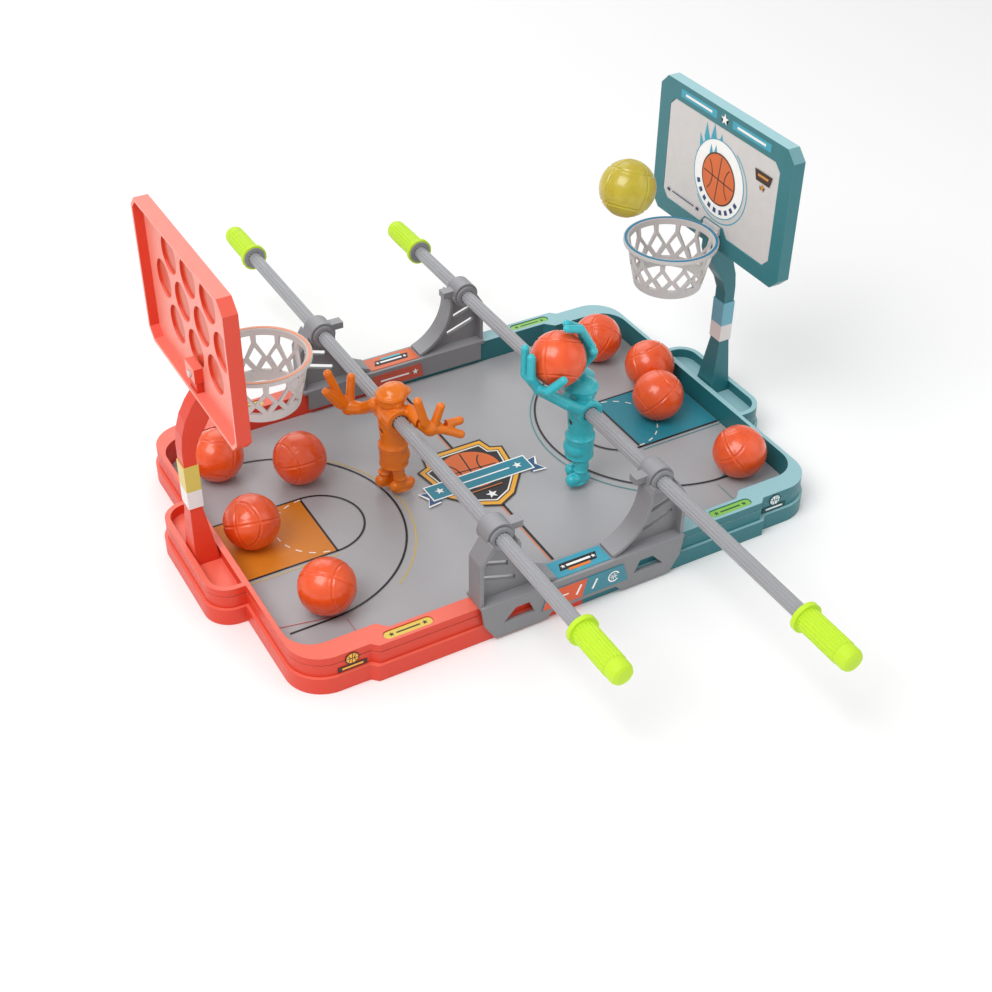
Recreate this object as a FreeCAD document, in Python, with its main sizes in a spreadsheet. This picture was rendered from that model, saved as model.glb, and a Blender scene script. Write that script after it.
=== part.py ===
import FreeCAD, Part
import os
import re
import Sketcher

# Tabletop two-player basketball game: a tray in two colours, a printed playing
# surface, two bridges that carry fluted rods with a throwing figure on each,
# and a hoop on a backboard and post at each end.
# The origin is on the table under the middle of the tray. +X runs to the teal
# end, +Y to the rear player's side and +Z up. Sizes are in millimetres.

Vector = FreeCAD.Vector
doc = FreeCAD.newDocument("TabletopBasketball")
sheet = doc.addObject("Spreadsheet::Sheet", "Sizes")

SIZES = [
    # tray
    ("tray_half_length", 178.4, "end wall, outside, above the step"),
    ("tray_half_width", 124.6, "corner wall, outside, above the step"),
    ("tray_corner_radius", 22, "outside corner"),
    ("rim_height", 25.4, "table to rim"),
    ("step_height", 11.5, "top of the lower step in the wall"),
    ("step_out", 1.8, "how far the lower step stands out"),
    ("groove_height", 19.6, "table to the line round the wall"),
    ("groove_size", 0.8, "width and depth of that line"),
    ("block_half_length", 132.5, "thick middle of the long wall"),
    ("block_half_width", 128.4, "thick middle of the long wall"),
    ("lobe_half_width", 46, "post platform, along the end wall"),
    ("lobe_reach", 198.8, "post platform, outer edge"),
    ("lobe_corner_radius", 15, "post platform corner"),
    ("lobe_lip", 3.4, "rim round the post platform"),
    ("lobe_floor", 18.8, "table to the sunken top of the platform"),
    ("inner_half_length", 175.6, "inside of the end wall"),
    ("inner_half_width", 111, "inside of the corner blocks"),
    ("inner_corner_radius", 18, "inside corner"),
    ("bay_half_length", 121, "wide middle of the playing space"),
    ("bay_half_width", 117, "wide middle of the playing space"),
    ("ledge_width", 7, "shelf under the playing surface"),
    ("rail_width", 6, "cross rail under the seam, on the red half"),
    # playing surface
    ("field_height", 9.5, "table to the playing surface"),
    ("field_thickness", 2.2, "printed sheet"),
    ("field_gap", 0.4, "sheet to wall"),
    # name pills on the rim
    ("pill_middle", 112, "middle of the pill along the rim"),
    ("pill_offset", 122.8, "middle of the pill from the centre line"),
    ("pill_length", 31, "recess"),
    ("pill_width", 6.8, "recess"),
    ("pill_depth", 1.5, "recess"),
    ("pill_thickness", 0.9, "printed inlay"),
    ("inlay_gap", 0.25, "inlay to recess"),
    # rods, bushes and grips
    ("rod_offset", 54.1, "rod axis from the middle"),
    ("rod_height", 70, "table to rod axis"),
    ("rod_radius", 4.5, "over the ribs of the rod"),
    ("flute_radius", 0.75, "round groove along the rod"),
    ("flute_count", 12, "grooves round the rod"),
    ("key_radius", 0.4, "rib in the bush that runs in a groove"),
    ("rod_gap", 0.3, "rod to bush"),
    ("grip_face", 220.4, "middle of the rod to a grip's flange"),
    ("grip_length", 41, "grip, over all"),
    ("grip_insert", 30, "rod length inside a grip"),
    ("grip_radius", 7.3, "over the ribs of the grip"),
    ("grip_flange_radius", 9.2, "flange"),
    ("grip_flange_length", 3, "flange"),
    ("grip_rib_count", 20, "ribs round the grip"),
    ("grip_rib_length", 29, "length of the ribs"),
    ("grip_groove_radius", 0.75, "groove between two ribs"),
    ("grip_gap", 0.3, "rod to grip bore"),
    ("left_rod_shift", 10.8, "left rod pushed to the rear"),
    ("right_rod_shift", -37.8, "right rod pulled to the front"),
    ("bush_radius", 6, "bush body"),
    ("bush_flange_radius", 7.4, "bush flange"),
    ("bush_flange_length", 1.7, "bush flange"),
    ("turning_gap", 0.3, "bush to bridge head"),
    # bridges
    ("bridge_half_length", 70, "over the arms"),
    ("bridge_wall", 2.2, "plates and flanges"),
    ("bridge_gap", 0.3, "bridge to rim"),
    ("skirt_gap", 0.5, "outer skirt to lower step"),
    ("skirt_half_length", 61, "outer skirt at its foot"),
    ("skirt_foot", 2, "table to the skirt's foot"),
    ("skirt_step", 6.5, "table to the raised middle of the skirt"),
    ("skirt_step_half_length", 22, "raised middle of the skirt"),
    ("inner_skirt_foot", 13, "table to the inner skirt's foot"),
    ("arm_depth", 14, "arm flanges, along the rod"),
    ("web_thickness", 2.5, "arm web"),
    ("arm_middle", 124, "middle of the arms from the centre line"),
    ("arm_shoulder", 58, "top of the straight outer flange"),
    ("arm_inner_end", 19.5, "where an arm meets the bridge top"),
    ("arch_middle", 7, "centre of the arch under an arm"),
    ("arch_height", 65, "centre of the arch over the table"),
    ("arch_radius", 37, "arch"),
    ("head_radius", 9, "ring round the bush"),
    ("head_inner_face", 113.1, "head, inner face from the centre line"),
    ("head_length", 12.3, "head, along the rod"),
    ("tab_reach", 16, "latch tab from the rod axis"),
    ("tab_width", 7, "latch tab, along the rod"),
    ("tab_height", 4.6, "latch tab"),
    ("label_half_length", 18.5, "plate on the bridge top"),
    ("label_thickness", 0.6, "printed plates and bands"),
    ("side_label_half_length", 26, "plate on the bridge's outer side"),
    ("inner_label_half_length", 20, "plate on the bridge's inner side"),
    # posts, backboards and hoops
    ("board_face", 172.9, "front of the backboard from the middle"),
    ("board_depth", 8.4, "backboard, front to back"),
    ("board_half_width", 68, "backboard"),
    ("board_bottom", 133.5, "table to backboard"),
    ("board_top", 226, "table to the top of the backboard"),
    ("board_chamfer", 7, "backboard corners"),
    ("board_wall", 2.3, "backboard edge wall"),
    ("board_plate", 2.6, "backboard face"),
    ("panel_half_width", 56.5, "printed panel"),
    ("panel_bottom", 144.5, "table to the printed panel"),
    ("panel_top", 214, "table to the top of the panel"),
    ("panel_chamfer", 5, "panel corners"),
    ("panel_recess", 1.1, "recess for the panel"),
    ("panel_thickness", 0.9, "printed panel"),
    ("notch_height", 150, "top of the notch in the panel"),
    ("notch_half_width", 9.5, "notch in the panel, at its top"),
    ("notch_slant", 4.5, "notch in the panel, slant of its sides"),
    ("dimple_radius", 11.2, "round holes in the back"),
    ("dimple_pitch", 28.8, "round holes, along a row"),
    ("dimple_row_pitch", 22, "round holes, row to row"),
    ("dimple_middle", 183, "table to the middle row"),
    ("clip_half_width", 7, "hoop clip on the back"),
    ("clip_bottom", 143.4, "table to the clip"),
    ("clip_top", 152.4, "table to the top of the clip"),
    ("hoop_middle", 140.5, "hoop centre from the middle"),
    ("hoop_height", 146.4, "table to the top of the ring"),
    ("hoop_radius", 30.3, "ring, outside"),
    ("hoop_inner_radius", 27, "ring, inside"),
    ("hoop_ring_thickness", 2.3, "ring"),
    ("net_height", 31, "ring top to the foot of the net"),
    ("net_radius", 28.4, "net under the ring, outside"),
    ("net_foot_radius", 22, "net foot, outside"),
    ("net_wall", 1.7, "net moulding"),
    ("net_count", 12, "windows round the net"),
    ("stripe_inner_radius", 28, "coloured band on the ring"),
    ("stripe_outer_radius", 29.7, "coloured band on the ring"),
    ("peg_radius", 1.9, "hoop peg"),
    ("peg_gap", 0.3, "peg to clip"),
    ("peg_height", 146.6, "table to the hoop peg"),
    ("peg_stand_out", 1.2, "peg end behind the clip"),
    ("post_inner", 185.5, "shaft, inner face from the middle"),
    ("post_outer", 193.3, "shaft, outer face from the middle"),
    ("post_half_width", 5.2, "shaft, across"),
    ("post_foot_half_width", 8.6, "foot, across"),
    ("post_foot_inner", 180.2, "foot, inner edge"),
    ("post_foot_outer", 195, "foot, outer edge"),
    ("post_bend", 100, "table to the start of the neck"),
    ("tongue_half_width", 5, "tongue in the backboard"),
    ("tongue_gap", 0.2, "tongue to slot"),
    ("band_bottom", 59, "table to the printed band"),
    ("band_middle", 71.2, "table to the band's change of colour"),
    ("band_top", 88.8, "table to the top of the band"),
    # balls
    ("ball_radius", 17.5, "ball"),
    ("ball_gap", 0.05, "ball to the surface it lies on"),
]
SIZE_WORDS = set()
for row, (word, value, note) in enumerate(SIZES, 1):
    sheet.set("A%d" % row, word)
    sheet.set("B%d" % row, str(value))
    sheet.set("C%d" % row, note)
    sheet.setAlias("B%d" % row, word)
    SIZE_WORDS.add(word)
doc.recompute()

AXIS_OF = {"XY_Plane": "z", "XZ_Plane": "y", "YZ_Plane": "x"}
LEFT, RIGHT = -1, 1
FRONT, REAR = -1, 1
SIDE_NAMES = {LEFT: "left", RIGHT: "right"}
PLAYER_NAMES = {FRONT: "front", REAR: "rear"}
COLOUR_NAMES = {LEFT: "red", RIGHT: "teal"}

nodes = []


def size(word):
    """The number that the sheet holds for a word."""
    return float(sheet.get(word))


def bind(thing, prop, text):
    """Ties a property to an expression written with the sheet's words."""

    def full(match):
        return "Sizes." + match.group(0) if match.group(0) in SIZE_WORDS else match.group(0)

    thing.setExpression(prop, re.sub(r"[a-z_]+[a-z]", full, text))


def node(name, thing):
    """Names the object of one sub-part and lists it for export."""
    thing.Label = name
    nodes.append(thing)
    return thing


def origin_plane(body, role):
    return [feature for feature in body.Origin.OriginFeatures if feature.Role == role][0]


def outline_sketch(body, plane, corners, start):
    """A closed outline of straight sides, each corner tied to two expressions."""
    sketch = body.newObject("Sketcher::SketchObject", body.Name + "_outline")
    sketch.AttachmentSupport = [(origin_plane(body, plane), "")]
    sketch.MapMode = "FlatFace"
    sign = "-" if plane == "XZ_Plane" else ""
    bind(sketch, "AttachmentOffset.Base.z", "%s(%s)" % (sign, start))
    count = len(corners)
    for index in range(count):
        tail = Vector(index, index * index, 0)
        following = (index + 1) % count
        tip = Vector(following, following * following, 0)
        sketch.addGeometry(Part.LineSegment(tail, tip), False)
    for index in range(count):
        following = (index + 1) % count
        sketch.addConstraint(Sketcher.Constraint("Coincident", index, 2, following, 1))
    for index, (across, along) in enumerate(corners):
        for kind, text in (("DistanceX", across), ("DistanceY", along)):
            rule = sketch.addConstraint(Sketcher.Constraint(kind, -1, 1, index, 1, 1.0 + index))
            bind(sketch, "Constraints[%d]" % rule, text)
    return sketch


def upright_edges(shape, axis, outer_only):
    """Names of the straight edges along an axis, or of those furthest out in x."""
    found = []
    for index, edge in enumerate(shape.Edges, 1):
        ends = edge.Vertexes
        if len(ends) < 2:
            continue
        run = ends[0].Point - ends[1].Point
        drift = [abs(getattr(run, other)) for other in "xyz" if other != axis]
        if max(drift) < 1e-6:
            found.append((abs(ends[0].Point.x), "Edge%d" % index))
    reach = max(x for x, name in found)
    return [name for x, name in found if not outer_only or x > reach - 0.01]


def prism(name, plane, corners, start, depth, fillet=None, outer_only=False):
    """An outline on an origin plane, raised along the plane's axis from start."""
    body = doc.addObject("PartDesign::Body", name)
    pad = body.newObject("PartDesign::Pad", name + "_pad")
    pad.Profile = outline_sketch(body, plane, corners, start)
    pad.Reversed = plane == "XZ_Plane"
    pad.Length = 1
    bind(pad, "Length", depth)
    body.Tip = pad
    if fillet:
        doc.recompute()
        rounding = body.newObject("PartDesign::Fillet", name + "_fillet")
        rounding.Base = (pad, upright_edges(pad.Shape, AXIS_OF[plane], outer_only))
        rounding.Radius = 0.1
        bind(rounding, "Radius", fillet)
        body.Tip = rounding
    return body


def block(name, x_range, y_range, z_range, fillet=None, outer_only=False):
    """A box between three pairs of expressions, with its upright edges rounded."""
    (x0, x1), (y0, y1), (z0, z1) = x_range, y_range, z_range
    corners = [(x0, y0), (x1, y0), (x1, y1), (x0, y1)]
    return prism(name, "XY_Plane", corners, z0, "(%s)-(%s)" % (z1, z0), fillet, outer_only)


def rod_shape(name, axis, radius, start, length, **place):
    """A round bar along an axis, from start; place holds the other two coordinates."""
    bar = doc.addObject("Part::Cylinder", name)
    if axis == "x":
        bar.Placement.Rotation = FreeCAD.Rotation(Vector(0, 1, 0), 90)
    if axis == "y":
        bar.Placement.Rotation = FreeCAD.Rotation(Vector(1, 0, 0), -90)
    bind(bar, "Radius", radius)
    bind(bar, "Height", length)
    bind(bar, "Placement.Base." + axis, start)
    for other, text in place.items():
        bind(bar, "Placement.Base." + other, text)
    return bar


def fuse(name, *pieces):
    joined = doc.addObject("Part::MultiFuse", name)
    joined.Shapes = list(pieces)
    joined.Refine = True
    return joined


def cut(name, base, *tools):
    result = doc.addObject("Part::Cut", name)
    result.Base = base
    result.Tool = tools[0] if len(tools) == 1 else fuse(name + "_tools", *tools)
    result.Refine = True
    return result


def common(name, first, second):
    result = doc.addObject("Part::Common", name)
    result.Base = first
    result.Tool = second
    return result


def signed(sign, text):
    return "%d*(%s)" % (sign, text)


def span(sign, near, far):
    """Start and length, in the positive direction, of a stretch on either side of zero."""
    start = near if sign > 0 else "-(%s)" % far
    return start, "(%s)-(%s)" % (far, near)


def mirrored(sign, corners):
    """Corners moved to the other side in the outline's first direction."""
    return [(signed(sign, across), along) for across, along in corners]


# ---------------------------------------------------------------- tray


def bay_corners(side, length, width, shoulder, start="0"):
    """Half of a long outline with slanted ends, open towards the middle."""
    slant = "((%s)-(%s))" % (width, shoulder)
    return mirrored(side, [
        (start, "-(%s)" % width),
        (length, "-(%s)" % width),
        ("%s+%s" % (length, slant), "-(%s)" % shoulder),
        ("%s+%s" % (length, slant), shoulder),
        (length, width),
        (start, width),
    ])


def tray_half(side):
    """One colour of the tray: stepped wall, post platform, shelf and recesses."""
    name = "tray_" + COLOUR_NAMES[side]
    tiers = [
        ("0", "step_height", "step_out"),
        ("step_height", "groove_height", "0"),
        ("groove_height", "groove_height+groove_size", "-groove_size"),
        ("groove_height+groove_size", "rim_height", "0"),
    ]
    layers = []
    for index, (bottom, top, out) in enumerate(tiers):
        tag = "%s_tier%d" % (name, index)
        width = "tray_half_width+%s" % out
        end = ("0", signed(side, "tray_half_length+%s" % out))
        across = ("-(%s)" % width, width)
        corner = "tray_corner_radius+%s" % out
        layers.append(block(tag + "_wall", end, across, (bottom, top), corner, outer_only=True))
        corners = bay_corners(side, "block_half_length+%s" % out, "block_half_width+%s" % out, width)
        layers.append(prism(tag + "_block", "XY_Plane", corners, bottom, "(%s)-(%s)" % (top, bottom)))
        lobe_width = "lobe_half_width+%s" % out
        lobe = (signed(side, "inner_half_length"), signed(side, "lobe_reach+%s" % out))
        across = ("-(%s)" % lobe_width, lobe_width)
        corner = "lobe_corner_radius+%s" % out
        layers.append(block(tag + "_lobe", lobe, across, (bottom, top), corner, outer_only=True))
    walls = fuse(name + "_walls", *layers)

    above = "rim_height+1"
    shelf = "field_height-field_thickness"
    holes = [
        block(name + "_space", ("0", signed(side, "inner_half_length")),
              ("-inner_half_width", "inner_half_width"), (shelf, above),
              "inner_corner_radius", outer_only=True),
        prism(name + "_bay", "XY_Plane",
              bay_corners(side, "bay_half_length", "bay_half_width", "inner_half_width"),
              shelf, "(%s)-(%s)" % (above, shelf)),
        block(name + "_under", ("-rail_width" if side == LEFT else "0",
                                signed(side, "inner_half_length-ledge_width")),
              ("-(inner_half_width-ledge_width)", "inner_half_width-ledge_width"),
              ("-1", "%s+1" % shelf), "inner_corner_radius-ledge_width", outer_only=True),
        block(name + "_pocket", (signed(side, "tray_half_length+1.2"), signed(side, "lobe_reach-lobe_lip")),
              ("-(lobe_half_width-lobe_lip)", "lobe_half_width-lobe_lip"),
              ("lobe_floor", above), "lobe_corner_radius-lobe_lip", outer_only=True),
    ]
    for player in (FRONT, REAR):
        holes.append(pill(name + "_pill_" + PLAYER_NAMES[player], side, player, "0",
                          "rim_height-pill_depth", above))
    return node(name, cut(name, walls, *holes))


def pill(name, side, player, gap, bottom, top):
    """A long round-ended plate or hole in the rim of the long wall."""
    half = "(pill_length/2-(%s))" % gap
    width = "(pill_width/2-(%s))" % gap
    middle = signed(side, "pill_middle")
    offset = signed(player, "pill_offset")
    return block(name, ("%s-%s" % (middle, half), "%s+%s" % (middle, half)),
                 ("%s-%s" % (offset, width), "%s+%s" % (offset, width)),
                 (bottom, top), "%s-0.05" % width)


def playing_surface():
    """One printed sheet that lies on the shelf of both halves."""
    parts = []
    for side in (LEFT, RIGHT):
        tag = "field_" + SIDE_NAMES[side]
        start, top = "field_height-field_thickness", "field_height"
        half = "inner_half_width-field_gap"
        parts.append(block(tag, ("0", signed(side, "inner_half_length-field_gap")),
                           ("-(%s)" % half, half), (start, top),
                           "inner_corner_radius-field_gap", outer_only=True))
        corners = bay_corners(side, "bay_half_length-field_gap", "bay_half_width-field_gap", half)
        parts.append(prism(tag + "_bay", "XY_Plane", corners, start, "field_thickness"))
    node("playing_surface", fuse("playing_surface", *parts))


# ---------------------------------------------------------------- bridges


def bridge(player):
    """A saddle over the long wall with two arched arms and half of each bush ring."""
    name = "bridge_" + PLAYER_NAMES[player]
    inner = "bay_half_width-bridge_gap-bridge_wall"
    outer = "block_half_width+step_out+skirt_gap+bridge_wall"
    top = "rim_height+bridge_gap+bridge_wall"
    pieces = []

    def across(near, far):
        return (signed(player, near), signed(player, far))

    pieces.append(block(name + "_top", ("-bridge_half_length", "bridge_half_length"),
                        across(inner, outer), ("rim_height+bridge_gap", top)))
    pieces.append(block(name + "_inner_skirt", ("-(bridge_half_length-3)", "bridge_half_length-3"),
                        across(inner, inner + "+bridge_wall"), ("inner_skirt_foot", top)))
    half_skirt = [
        ("bridge_half_length", top),
        ("bridge_half_length-2", "step_height+2"),
        ("skirt_half_length", "skirt_foot"),
        ("skirt_step_half_length+4", "skirt_foot"),
        ("skirt_step_half_length", "skirt_step"),
    ]
    skirt = mirrored(LEFT, half_skirt) + list(reversed(half_skirt))
    start, depth = span(player, outer + "-bridge_wall", outer)
    skirt_plate = prism(name + "_skirt", "XZ_Plane", skirt, start, depth)
    windows = []
    for side in (LEFT, RIGHT):
        trapezoid = [("34.5", "skirt_foot+9.6"), ("55.5", "skirt_foot+9.6"),
                     ("47.5", "skirt_foot+18.4"), ("38.5", "skirt_foot+18.4")]
        far_start, far_depth = span(player, outer + "-bridge_wall-1", outer + "+1")
        windows.append(prism("%s_window_%s" % (name, SIDE_NAMES[side]), "XZ_Plane",
                             mirrored(side, trapezoid), far_start, far_depth))
    pieces.append(cut(name + "_skirt_open", skirt_plate, *windows))

    bores = []
    for side in (LEFT, RIGHT):
        tag = "%s_%s" % (name, SIDE_NAMES[side])
        pieces.append(bridge_arm(tag, side, player))
        start, depth = span(player, "head_inner_face", "head_inner_face+head_length")
        ring = rod_shape(tag + "_head", "y", "head_radius", start, depth,
                         x=signed(side, "rod_offset"), z="rod_height")
        upper = block(tag + "_upper", (signed(side, "rod_offset-head_radius-1"),
                                       signed(side, "rod_offset+head_radius+1")),
                      across("head_inner_face-1", "head_inner_face+head_length+1"),
                      ("rod_height", "rod_height+head_radius+1"))
        pieces.append(cut(tag + "_half_head", ring, upper))
        start, depth = span(player, "head_inner_face-1", "arm_middle+arm_depth/2+1")
        bores.append(rod_shape(tag + "_bore", "y", "bush_radius+turning_gap", start, depth,
                               x=signed(side, "rod_offset"), z="rod_height"))
        start, depth = span(player, "head_inner_face+head_length", "arm_middle+arm_depth/2+1")
        bores.append(rod_shape(tag + "_flange_space", "y", "bush_flange_radius+turning_gap", start, depth,
                               x=signed(side, "rod_offset"), z="rod_height"))
        bores.append(block(tag + "_cap_space",
                           (signed(side, "rod_offset-head_radius-6"), signed(side, "rod_offset+head_radius+0.4")),
                           across("head_inner_face-1", "arm_middle+arm_depth/2+1"),
                           ("rod_height", "rod_height+head_radius+4")))
    return node(name, cut(name, fuse(name + "_whole", *pieces), *bores))


def bridge_arm(tag, side, player):
    """An arched arm: a web with two slots between an outer and an arched flange."""
    top = "rim_height+bridge_gap+bridge_wall"
    outline = [
        ("arm_inner_end", top + "-0.4"),
        ("bridge_half_length", top + "-0.4"),
        ("bridge_half_length", "arm_shoulder"),
        ("rod_offset+head_radius-0.6", "rod_height"),
        ("rod_offset-head_radius+0.6", "rod_height"),
        ("arch_middle+arch_radius-0.5", "arch_height"),
        ("arm_inner_end", "arch_height"),
    ]
    hollow = [
        ("arm_inner_end+bridge_wall", top + "-0.4"),
        ("bridge_half_length-bridge_wall", top + "-0.4"),
        ("bridge_half_length-bridge_wall", "arm_shoulder-0.6"),
        ("rod_offset+head_radius-2.6", "rod_height-3"),
        ("arch_middle+arch_radius+bridge_wall-0.2", "rod_height-3"),
        ("arch_middle+arch_radius+bridge_wall-0.2", "arch_height"),
        ("arm_inner_end+bridge_wall", "arch_height"),
    ]
    near = "arm_middle-arm_depth/2"
    far = "arm_middle+arm_depth/2"
    start, depth = span(player, near, far)
    solid = prism(tag + "_arm", "XZ_Plane", mirrored(side, outline), start, depth)
    arch = rod_shape(tag + "_arch", "y", "arch_radius", "%s-1" % start, "%s+2" % depth,
                     x=signed(side, "arch_middle"), z="arch_height")
    cutters = [arch]
    for which, (low, high) in {
        "inside": (near + "-1", "arm_middle-web_thickness/2"),
        "outside": ("arm_middle+web_thickness/2", far + "+1"),
    }.items():
        start, depth = span(player, low, high)
        pocket = prism("%s_%s" % (tag, which), "XZ_Plane", mirrored(side, hollow), start, depth)
        flange = rod_shape("%s_%s_flange" % (tag, which), "y", "arch_radius+bridge_wall",
                           "%s-1" % start, "%s+2" % depth,
                           x=signed(side, "arch_middle"), z="arch_height")
        cutters.append(cut("%s_%s_pocket" % (tag, which), pocket, flange))
    for index, (high, reach) in enumerate((("53", "49"), ("42", "44"))):
        slot = [
            ("bridge_half_length-5", high),
            ("bridge_half_length-5", "%s+3.6" % high),
            (reach, "%s+3.6-(bridge_half_length-5-%s)*0.34" % (high, reach)),
            (reach, "%s-(bridge_half_length-5-%s)*0.34" % (high, reach)),
        ]
        start, depth = span(player, "arm_middle-web_thickness", "arm_middle+web_thickness")
        cutters.append(prism("%s_slot%d" % (tag, index), "XZ_Plane", mirrored(side, slot), start, depth))
    return cut(tag + "_open", solid, *cutters)


def ring_cap(side, player):
    """The upper half of a bush ring, snapped on, with its latch tab."""
    name = "rod_cap_%s_%s" % (SIDE_NAMES[side], PLAYER_NAMES[player])
    start, depth = span(player, "head_inner_face", "head_inner_face+head_length")
    ring = rod_shape(name + "_ring", "y", "head_radius", start, depth,
                     x=signed(side, "rod_offset"), z="rod_height")
    middle = "head_inner_face+head_length/2"
    tab = block(name + "_tab",
                (signed(side, "rod_offset-tab_reach"), signed(side, "rod_offset-bush_radius-1")),
                (signed(player, middle + "-tab_width/2"), signed(player, middle + "+tab_width/2")),
                ("rod_height", "rod_height+tab_height"))
    start, depth = span(player, "head_inner_face-1", "head_inner_face+head_length+1")
    bore = rod_shape(name + "_bore", "y", "bush_radius+turning_gap", start, depth,
                     x=signed(side, "rod_offset"), z="rod_height")
    lower = block(name + "_lower", (signed(side, "rod_offset-tab_reach-1"),
                                    signed(side, "rod_offset+head_radius+1")),
                  (signed(player, "head_inner_face-1"), signed(player, "head_inner_face+head_length+1")),
                  ("rod_height-head_radius-1", "rod_height"))
    node(name, cut(name, fuse(name + "_whole", ring, tab), bore, lower))


def printed_plates(player):
    """Thin printed plates on a bridge's top, outer side and inner side."""
    name = PLAYER_NAMES[player]
    top = "rim_height+bridge_gap+bridge_wall"
    inner = "bay_half_width-bridge_gap-bridge_wall"
    outer = "block_half_width+step_out+skirt_gap+bridge_wall"
    node("top_label_" + name,
         block("top_label_" + name, ("-label_half_length", "label_half_length"),
               (signed(player, inner + "+2.2"), signed(player, outer + "-2.2")),
               (top, top + "+label_thickness")))
    start, depth = span(player, outer, outer + "+label_thickness")
    half = [("side_label_half_length", "skirt_step+16.5"), ("side_label_half_length+4", "skirt_step+3")]
    corners = mirrored(LEFT, half) + list(reversed(half))
    node("side_label_" + name, prism("side_label_" + name, "XZ_Plane", corners, start, depth))
    start, depth = span(player, inner + "-label_thickness", inner)
    half = [("inner_label_half_length-1.5", "rim_height-0.6"), ("inner_label_half_length", "inner_skirt_foot+1.5")]
    corners = mirrored(LEFT, half) + list(reversed(half))
    node("inner_label_" + name, prism("inner_label_" + name, "XZ_Plane", corners, start, depth))


# ---------------------------------------------------------------- rods


def flute_pattern(name, body, profile_plane, radius, x, y, start, length, count_word, axis_role):
    """Round grooves along a bar, cut once and repeated round its axis."""
    sketch = body.newObject("Sketcher::SketchObject", name + "_profile")
    sketch.AttachmentSupport = [(origin_plane(body, profile_plane), "")]
    sketch.MapMode = "FlatFace"
    bind(sketch, "AttachmentOffset.Base.z", start)
    sketch.addGeometry(Part.Circle(Vector(0, 0, 0), Vector(0, 0, 1), 1), False)
    for kind, text in (("DistanceX", x), ("DistanceY", y)):
        rule = sketch.addConstraint(Sketcher.Constraint(kind, -1, 1, 0, 3, 1.0))
        bind(sketch, "Constraints[%d]" % rule, text)
    rule = sketch.addConstraint(Sketcher.Constraint("Radius", 0, 1.0))
    bind(sketch, "Constraints[%d]" % rule, radius)
    pocket = body.newObject("PartDesign::Pocket", name + "_groove")
    pocket.Profile = sketch
    pocket.Reversed = True
    pocket.Length = 1
    bind(pocket, "Length", length)
    body.Tip = pocket
    doc.recompute()
    pattern = body.newObject("PartDesign::PolarPattern", name + "_grooves")
    pattern.Originals = [pocket]
    pattern.Axis = (origin_plane(body, axis_role), [""])
    pattern.Angle = 360
    pattern.Occurrences = 2
    bind(pattern, "Occurrences", count_word)
    body.Tip = pattern
    return pattern


def turned(body, name, profile):
    """A closed outline in the body's XZ plane, turned round its z axis."""
    feature = body.newObject("PartDesign::Revolution", name + "_turned")
    feature.Profile = outline_sketch(body, "XZ_Plane", profile, "0")
    feature.ReferenceAxis = (origin_plane(body, "Z_Axis"), [""])
    feature.Angle = 360
    body.Tip = feature
    doc.recompute()
    return feature


def circle_pad(body, name, radius, start, length):
    """A round bar along the body's own z axis."""
    sketch = body.newObject("Sketcher::SketchObject", name + "_circle")
    sketch.AttachmentSupport = [(origin_plane(body, "XY_Plane"), "")]
    sketch.MapMode = "FlatFace"
    bind(sketch, "AttachmentOffset.Base.z", start)
    sketch.addGeometry(Part.Circle(Vector(0, 0, 0), Vector(0, 0, 1), 1), False)
    sketch.addConstraint(Sketcher.Constraint("Coincident", 0, 3, -1, 1))
    rule = sketch.addConstraint(Sketcher.Constraint("Radius", 0, 1.0))
    bind(sketch, "Constraints[%d]" % rule, radius)
    pad = body.newObject("PartDesign::Pad", name + "_pad")
    pad.Profile = sketch
    pad.Length = 1
    bind(pad, "Length", length)
    body.Tip = pad
    return pad


def lay_along_y(thing, side, shift):
    """Turns a part made round its own z axis onto a rod's axis."""
    thing.Placement.Rotation = FreeCAD.Rotation(Vector(1, 0, 0), -90)
    bind(thing, "Placement.Base.x", signed(side, "rod_offset"))
    bind(thing, "Placement.Base.y", shift)
    bind(thing, "Placement.Base.z", "rod_height")


def fluted_rod(side):
    """The long moulded rod with grooves along it."""
    name = "rod_" + SIDE_NAMES[side]
    body = doc.addObject("PartDesign::Body", name)
    start = "-(grip_face+grip_insert)"
    length = "2*(grip_face+grip_insert)"
    circle_pad(body, name, "rod_radius", start, length)
    flute_pattern(name, body, "XY_Plane", "flute_radius", "rod_radius+flute_radius*0.25", "0",
                  start, length, "flute_count", "Z_Axis")
    lay_along_y(body, side, SIDE_NAMES[side] + "_rod_shift")
    node(name, body)


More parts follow.
